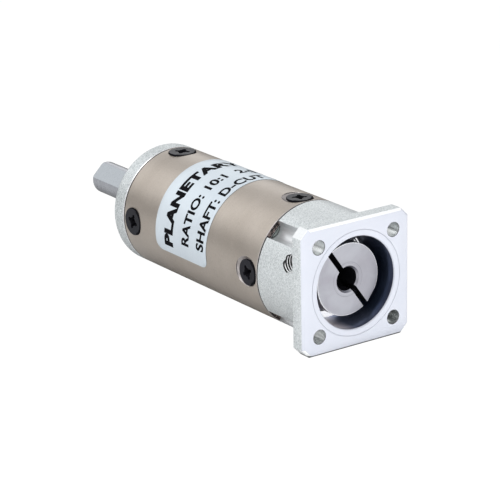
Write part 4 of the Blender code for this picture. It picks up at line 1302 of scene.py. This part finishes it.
# a narrow flat on the rim
boolean(hub, moved(box_mesh((1.0, 6.146, -4), (7.9, 8, 4)), turned(-143.2)))


def hub_paint(mid, normal):
    radius = math.hypot(mid.y, mid.z)
    angle = math.radians(SLOT_ANGLE)
    across = abs(-mid.y * math.sin(angle) + mid.z * math.cos(angle))
    # the slot and the hub's bore are painted dark as shade
    if mid.x < SLOT_END + 0.05 and across < SLOT_HALF + 0.005 and radius < HUB_R + 0.1:
        return "dark"
    if radius < 2.06 and mid.x > 2.5:
        return "dark"
    # painted highlight: the rim's chamfer takes the bright milled material
    if radius > 6.18 and mid.x < 2.46 and normal.x < -0.2:
        return "edge"
    return "body"


piece(
    hub, "input_hub_body", "input", {"body": TURNED, "dark": PAINTED_SHADE, "edge": EDGE},
    hub_paint, replaces="input_hub", smooth=14,
)

# (height, radius)
CLAMP_PROFILE = [
    (-3.95, 0.7), (-3.7, 0.96),
    *[(-3.7 + 0.2 * k, CLAMP_R - (0.14 if k % 2 else 0.0)) for k in range(1, 26)],
    (1.85, CLAMP_R), (1.85, 1.70), (1.93, CLAMP_HEAD_R), (3.72, CLAMP_HEAD_R), (3.85, 1.66),
]
clamp = raw(moved(cone_bar(CLAMP_PROFILE, 48), screw_line))
knurl = []
for z, grow in ((2.0, 0.0), (2.08, 0.1), (3.5, 0.1), (3.6, 0.0)):
    ring = []
    for k in range(60):
        angle = 2 * math.pi * k / 60
        radius = 1.76 + (grow if k % 2 else grow + 0.03)
        ring.append((radius * math.cos(angle), radius * math.sin(angle), z))
    knurl.append(ring)
boolean(clamp, moved(loft(knurl), screw_line), "UNION")
hexagon = [
    [(x * scale, y * scale, z) for x, y in circle(0.87, 6)]
    for z, scale in ((2.6, 1.0), (3.75, 1.0), (4.2, 1.25))
]
boolean(clamp, moved(loft(hexagon), screw_line))
to_screw = screw_line.inverted()


def clamp_paint(mid, normal):
    """The knurled head's corners are worn bright."""
    x, y, z = to_screw @ mid
    return "cut" if z > 2.0 and math.hypot(x, y) > 1.8 and (z > 3.45 or z < 2.1) else "body"


piece(
    clamp, "clamp_screw_black", "input", {"body": OXIDE, "cut": CUT}, clamp_paint,
    replaces="clamp_screw", smooth=20,
)

# ======================================================================
# output shaft, with three bores in its carrier disc
# ======================================================================
FLAT_START, FLAT_HEIGHT = 62.1, 2.45
CARRIER_BORE_R, CARRIER_CIRCLE_R = 0.82, 6.6

# (x, radius)
SHAFT_PROFILE = [
    (40.4, 0.0), (40.4, 8.1), (40.6, 8.3), (43.6, 8.3), (43.8, 8.1), (43.8, 4.1), (45.55, 4.1),
    (45.55, SHAFT_R), (56.12, SHAFT_R), (56.12, 2.7), (56.78, 2.7), (56.78, SHAFT_R),
    (SHAFT_END - 0.22, SHAFT_R), (SHAFT_END - 0.19, 2.98), (SHAFT_END - 0.02, 2.81),
    (SHAFT_END, 2.77), (SHAFT_END, 0.0),
]
CARRIER_BORE = [(39.0, 0.0), (39.0, CARRIER_BORE_R), (43.4, CARRIER_BORE_R), (43.4, 0.0)]
shaft = raw(lathe(SHAFT_PROFILE, 144, closed=False))
flat = moved(box_mesh((FLAT_START, FLAT_HEIGHT, -4), (SHAFT_END + 1, 5, 4)), turned(45))
bores = []
for degrees in (90.0, 210.0, 330.0):
    angle = math.radians(degrees)
    spot = (0, CARRIER_CIRCLE_R * math.cos(angle), CARRIER_CIRCLE_R * math.sin(angle))
    bores.append(moved(lathe(CARRIER_BORE, 32, closed=False), Matrix.Translation(spot)))
boolean(shaft, together(bores + [flat]))


def shaft_paint(mid, normal):
    return "flat" if normal.y > 0.69 and normal.z > 0.69 and mid.x > FLAT_START - 0.1 else "body"


piece(
    shaft, "output_shaft_body", "output", {"body": SHAFT, "flat": FLAT}, shaft_paint,
    replaces="output_shaft",
)

# ======================================================================
# dust seal
# ======================================================================
# (x, radius)
SEAL_PROFILE = [
    (57.3, 3.25), (57.3, 4.5), (57.38, 4.57), (58.6, 4.57), (58.7, 4.5), (58.7, 3.75), (58.62, 3.66),
    (58.2, 3.55), (58.15, 3.35), (58.32, 3.14), (58.22, 3.07), (57.9, 3.07), (57.7, 3.2),
]
piece(
    raw(lathe(SEAL_PROFILE, 128)), "dust_seal_lip", "housing", {"body": RUBBER},
    replaces="dust_seal", smooth=40,
)

# ======================================================================
# the input bearing's outer race, turned with a full ball groove
# ======================================================================
BALL_X, BALL_CIRCLE_R, BALL_GROOVE_R = 10.3, 5.5, 0.9
ball_groove = [
    (
        BALL_X - BALL_GROOVE_R * math.cos(math.radians(degrees)),
        BALL_CIRCLE_R + BALL_GROOVE_R * math.sin(math.radians(degrees)),
    )
    for degrees in range(42, 139, 8)
]
race_outside = [(12.3, 6.1), (12.3, 6.9), (12.22, 6.98), (8.38, 6.98), (8.3, 6.9), (8.3, 6.1)]
piece(
    raw(lathe(race_outside + ball_groove, 120)), "input_bearing_ring", "housing",
    {"body": RACE}, replaces="input_bearing_outer_race", smooth=40,
)

# ======================================================================
# the rest of the mechanism keeps its CAD shape
# ======================================================================
BY_SLOT = {
    "blasted_aluminium": BLASTED, "nickel_barrel": NICKEL, "ground_steel": TURNED,
    "gear_steel": GEAR, "bearing_steel": RACE, "ball_cage": BRASS, "spring_steel": SPRING,
    "black_oxide": OXIDE, "seal_rubber": RUBBER, "label_foil": FILM,
}
slots = {part["node"]: part["material_slot"] for part in frame["record"]["subparts"]}
for node, obj in frame["nodes"].items():
    obj.data.materials.clear()
    obj.data.materials.append(BY_SLOT[slots[node]])

# ======================================================================
# studio
# ======================================================================
scene = bpy.context.scene
scene.view_settings.view_transform = "Standard"
scene.view_settings.look = "None"

# (height from 0 straight down to 1 straight up, brightness)
SKY = [(0.0, 0.3), (0.44, 0.3), (0.505, 0.14), (0.565, 0.48), (0.64, 0.92), (0.74, 1.0), (1.0, 0.85)]


def make_world():
    """The camera sees plain white; everything else is lit by the sky ramp."""
    world = bpy.data.worlds.new("studio")
    scene.world = world
    world.use_nodes = True
    world.node_tree.nodes.clear()
    nodes = Nodes(world.node_tree)
    height = nodes.split(nodes.node("ShaderNodeTexCoord").outputs["Generated"])["Z"]
    stops = [(position, (v, v, v * 1.01)) for position, v in SKY]
    sky = nodes.ramp(nodes.span(height, start=-1.0, end=1.0), stops)
    glow = nodes.node("ShaderNodeBackground", {"Color": sky, "Strength": 0.86}).outputs[0]
    seen = nodes.node("ShaderNodeBackground", {"Color": (1, 1, 1, 1), "Strength": 1.0}).outputs[0]
    to_camera = nodes.node("ShaderNodeLightPath").outputs["Is Camera Ray"]
    pick = nodes.node("ShaderNodeMixShader", {0: to_camera, 1: glow, 2: seen}).outputs[0]
    nodes.node("ShaderNodeOutputWorld", {"Surface": pick})


def softbox(name, location, size, power, target=(0, 0, 0), size_y=None):
    light = bpy.data.lights.new(name, "AREA")
    light.shape = "RECTANGLE"
    light.size = size
    light.size_y = size_y or size
    light.energy = power
    obj = bpy.data.objects.new(name, light)
    scene.collection.objects.link(obj)
    obj.location = location
    aim = Vector(target) - Vector(location)
    obj.rotation_euler = aim.to_track_quat("-Z", "Y").to_euler()


def floor_material():
    """White to the camera; to other rays, darker towards -Y as painted shade and glowing beyond the motor
    end.
    """
    material = bpy.data.materials.new("pale_floor")
    material.use_nodes = True
    nodes = Nodes(material.node_tree)
    bsdf = nodes.tree.nodes["Principled BSDF"]
    spot = nodes.split(nodes.node("ShaderNodeNewGeometry").outputs["Position"])
    motor_end = nodes.span(spot["X"], start=-0.0401, end=-0.0384, first=0.85, last=0.0)
    sideways = nodes.span(spot["Y"], start=-0.009, end=0.014, first=0.07, last=0.68)
    nodes.put(bsdf.inputs["Base Color"], nodes.maths("MAXIMUM", motor_end, sideways))
    nodes.put(bsdf.inputs["Roughness"], 0.9)
    nodes.put(bsdf.inputs["Emission Color"], motor_end)
    nodes.put(bsdf.inputs["Emission Strength"], 0.55)
    white = nodes.node("ShaderNodeEmission", {"Color": (1, 1, 1, 1), "Strength": 1.06}).outputs[0]
    share = nodes.times(nodes.node("ShaderNodeLightPath").outputs["Is Camera Ray"], 0.97)
    mixed = nodes.node("ShaderNodeMixShader", {0: share, 1: bsdf.outputs[0], 2: white}).outputs[0]
    nodes.put(nodes.tree.nodes["Material Output"].inputs["Surface"], mixed)
    return material


def make_floor():
    grid = bmesh.new()
    bmesh.ops.create_grid(grid, x_segments=8, y_segments=8, size=3.0)
    floor = raw(grid, "studio_floor")
    floor.location = (0, 0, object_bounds()[0][2] - 0.0002)
    floor.data.materials.append(floor_material())


def make_camera():
    data = bpy.data.cameras.new("camera")
    data.sensor_width = 36.0
    data.lens = 170.36
    data.clip_start = 0.01
    data.clip_end = 20.0
    camera = bpy.data.objects.new("camera", data)
    scene.collection.objects.link(camera)
    right = Vector((-0.58030735, -0.8141979, -0.01803227))
    down = Vector((-0.25011627, 0.199251, -0.9474919))
    forward = Vector((0.77503886, -0.54532635, -0.31927096))
    view = Matrix((right, -down, -forward)).transposed().to_4x4()
    view.translation = Vector((FACE_X - 0.28998, 0.225316, 0.129660))
    camera.matrix_world = view
    scene.camera = camera


make_world()
softbox("key_softbox", location=(-0.10, 0.16, 0.34), size=0.26, power=0.42)
softbox("back_softbox", location=(0.32, 0.12, 0.23), size=0.24, power=0.09)
softbox("rim_softbox", location=(0.30, -0.22, 0.13), size=0.14, power=0.033, target=(0.01, 0, 0.01))
softbox("side_softbox", location=(0.06, 0.38, 0.04), size=0.24, power=0.46, size_y=0.34)
softbox("front_softbox", location=(-0.42, 0.03, 0.08), size=0.24, power=0.46, target=(-0.03, 0, 0))
make_floor()
make_camera()
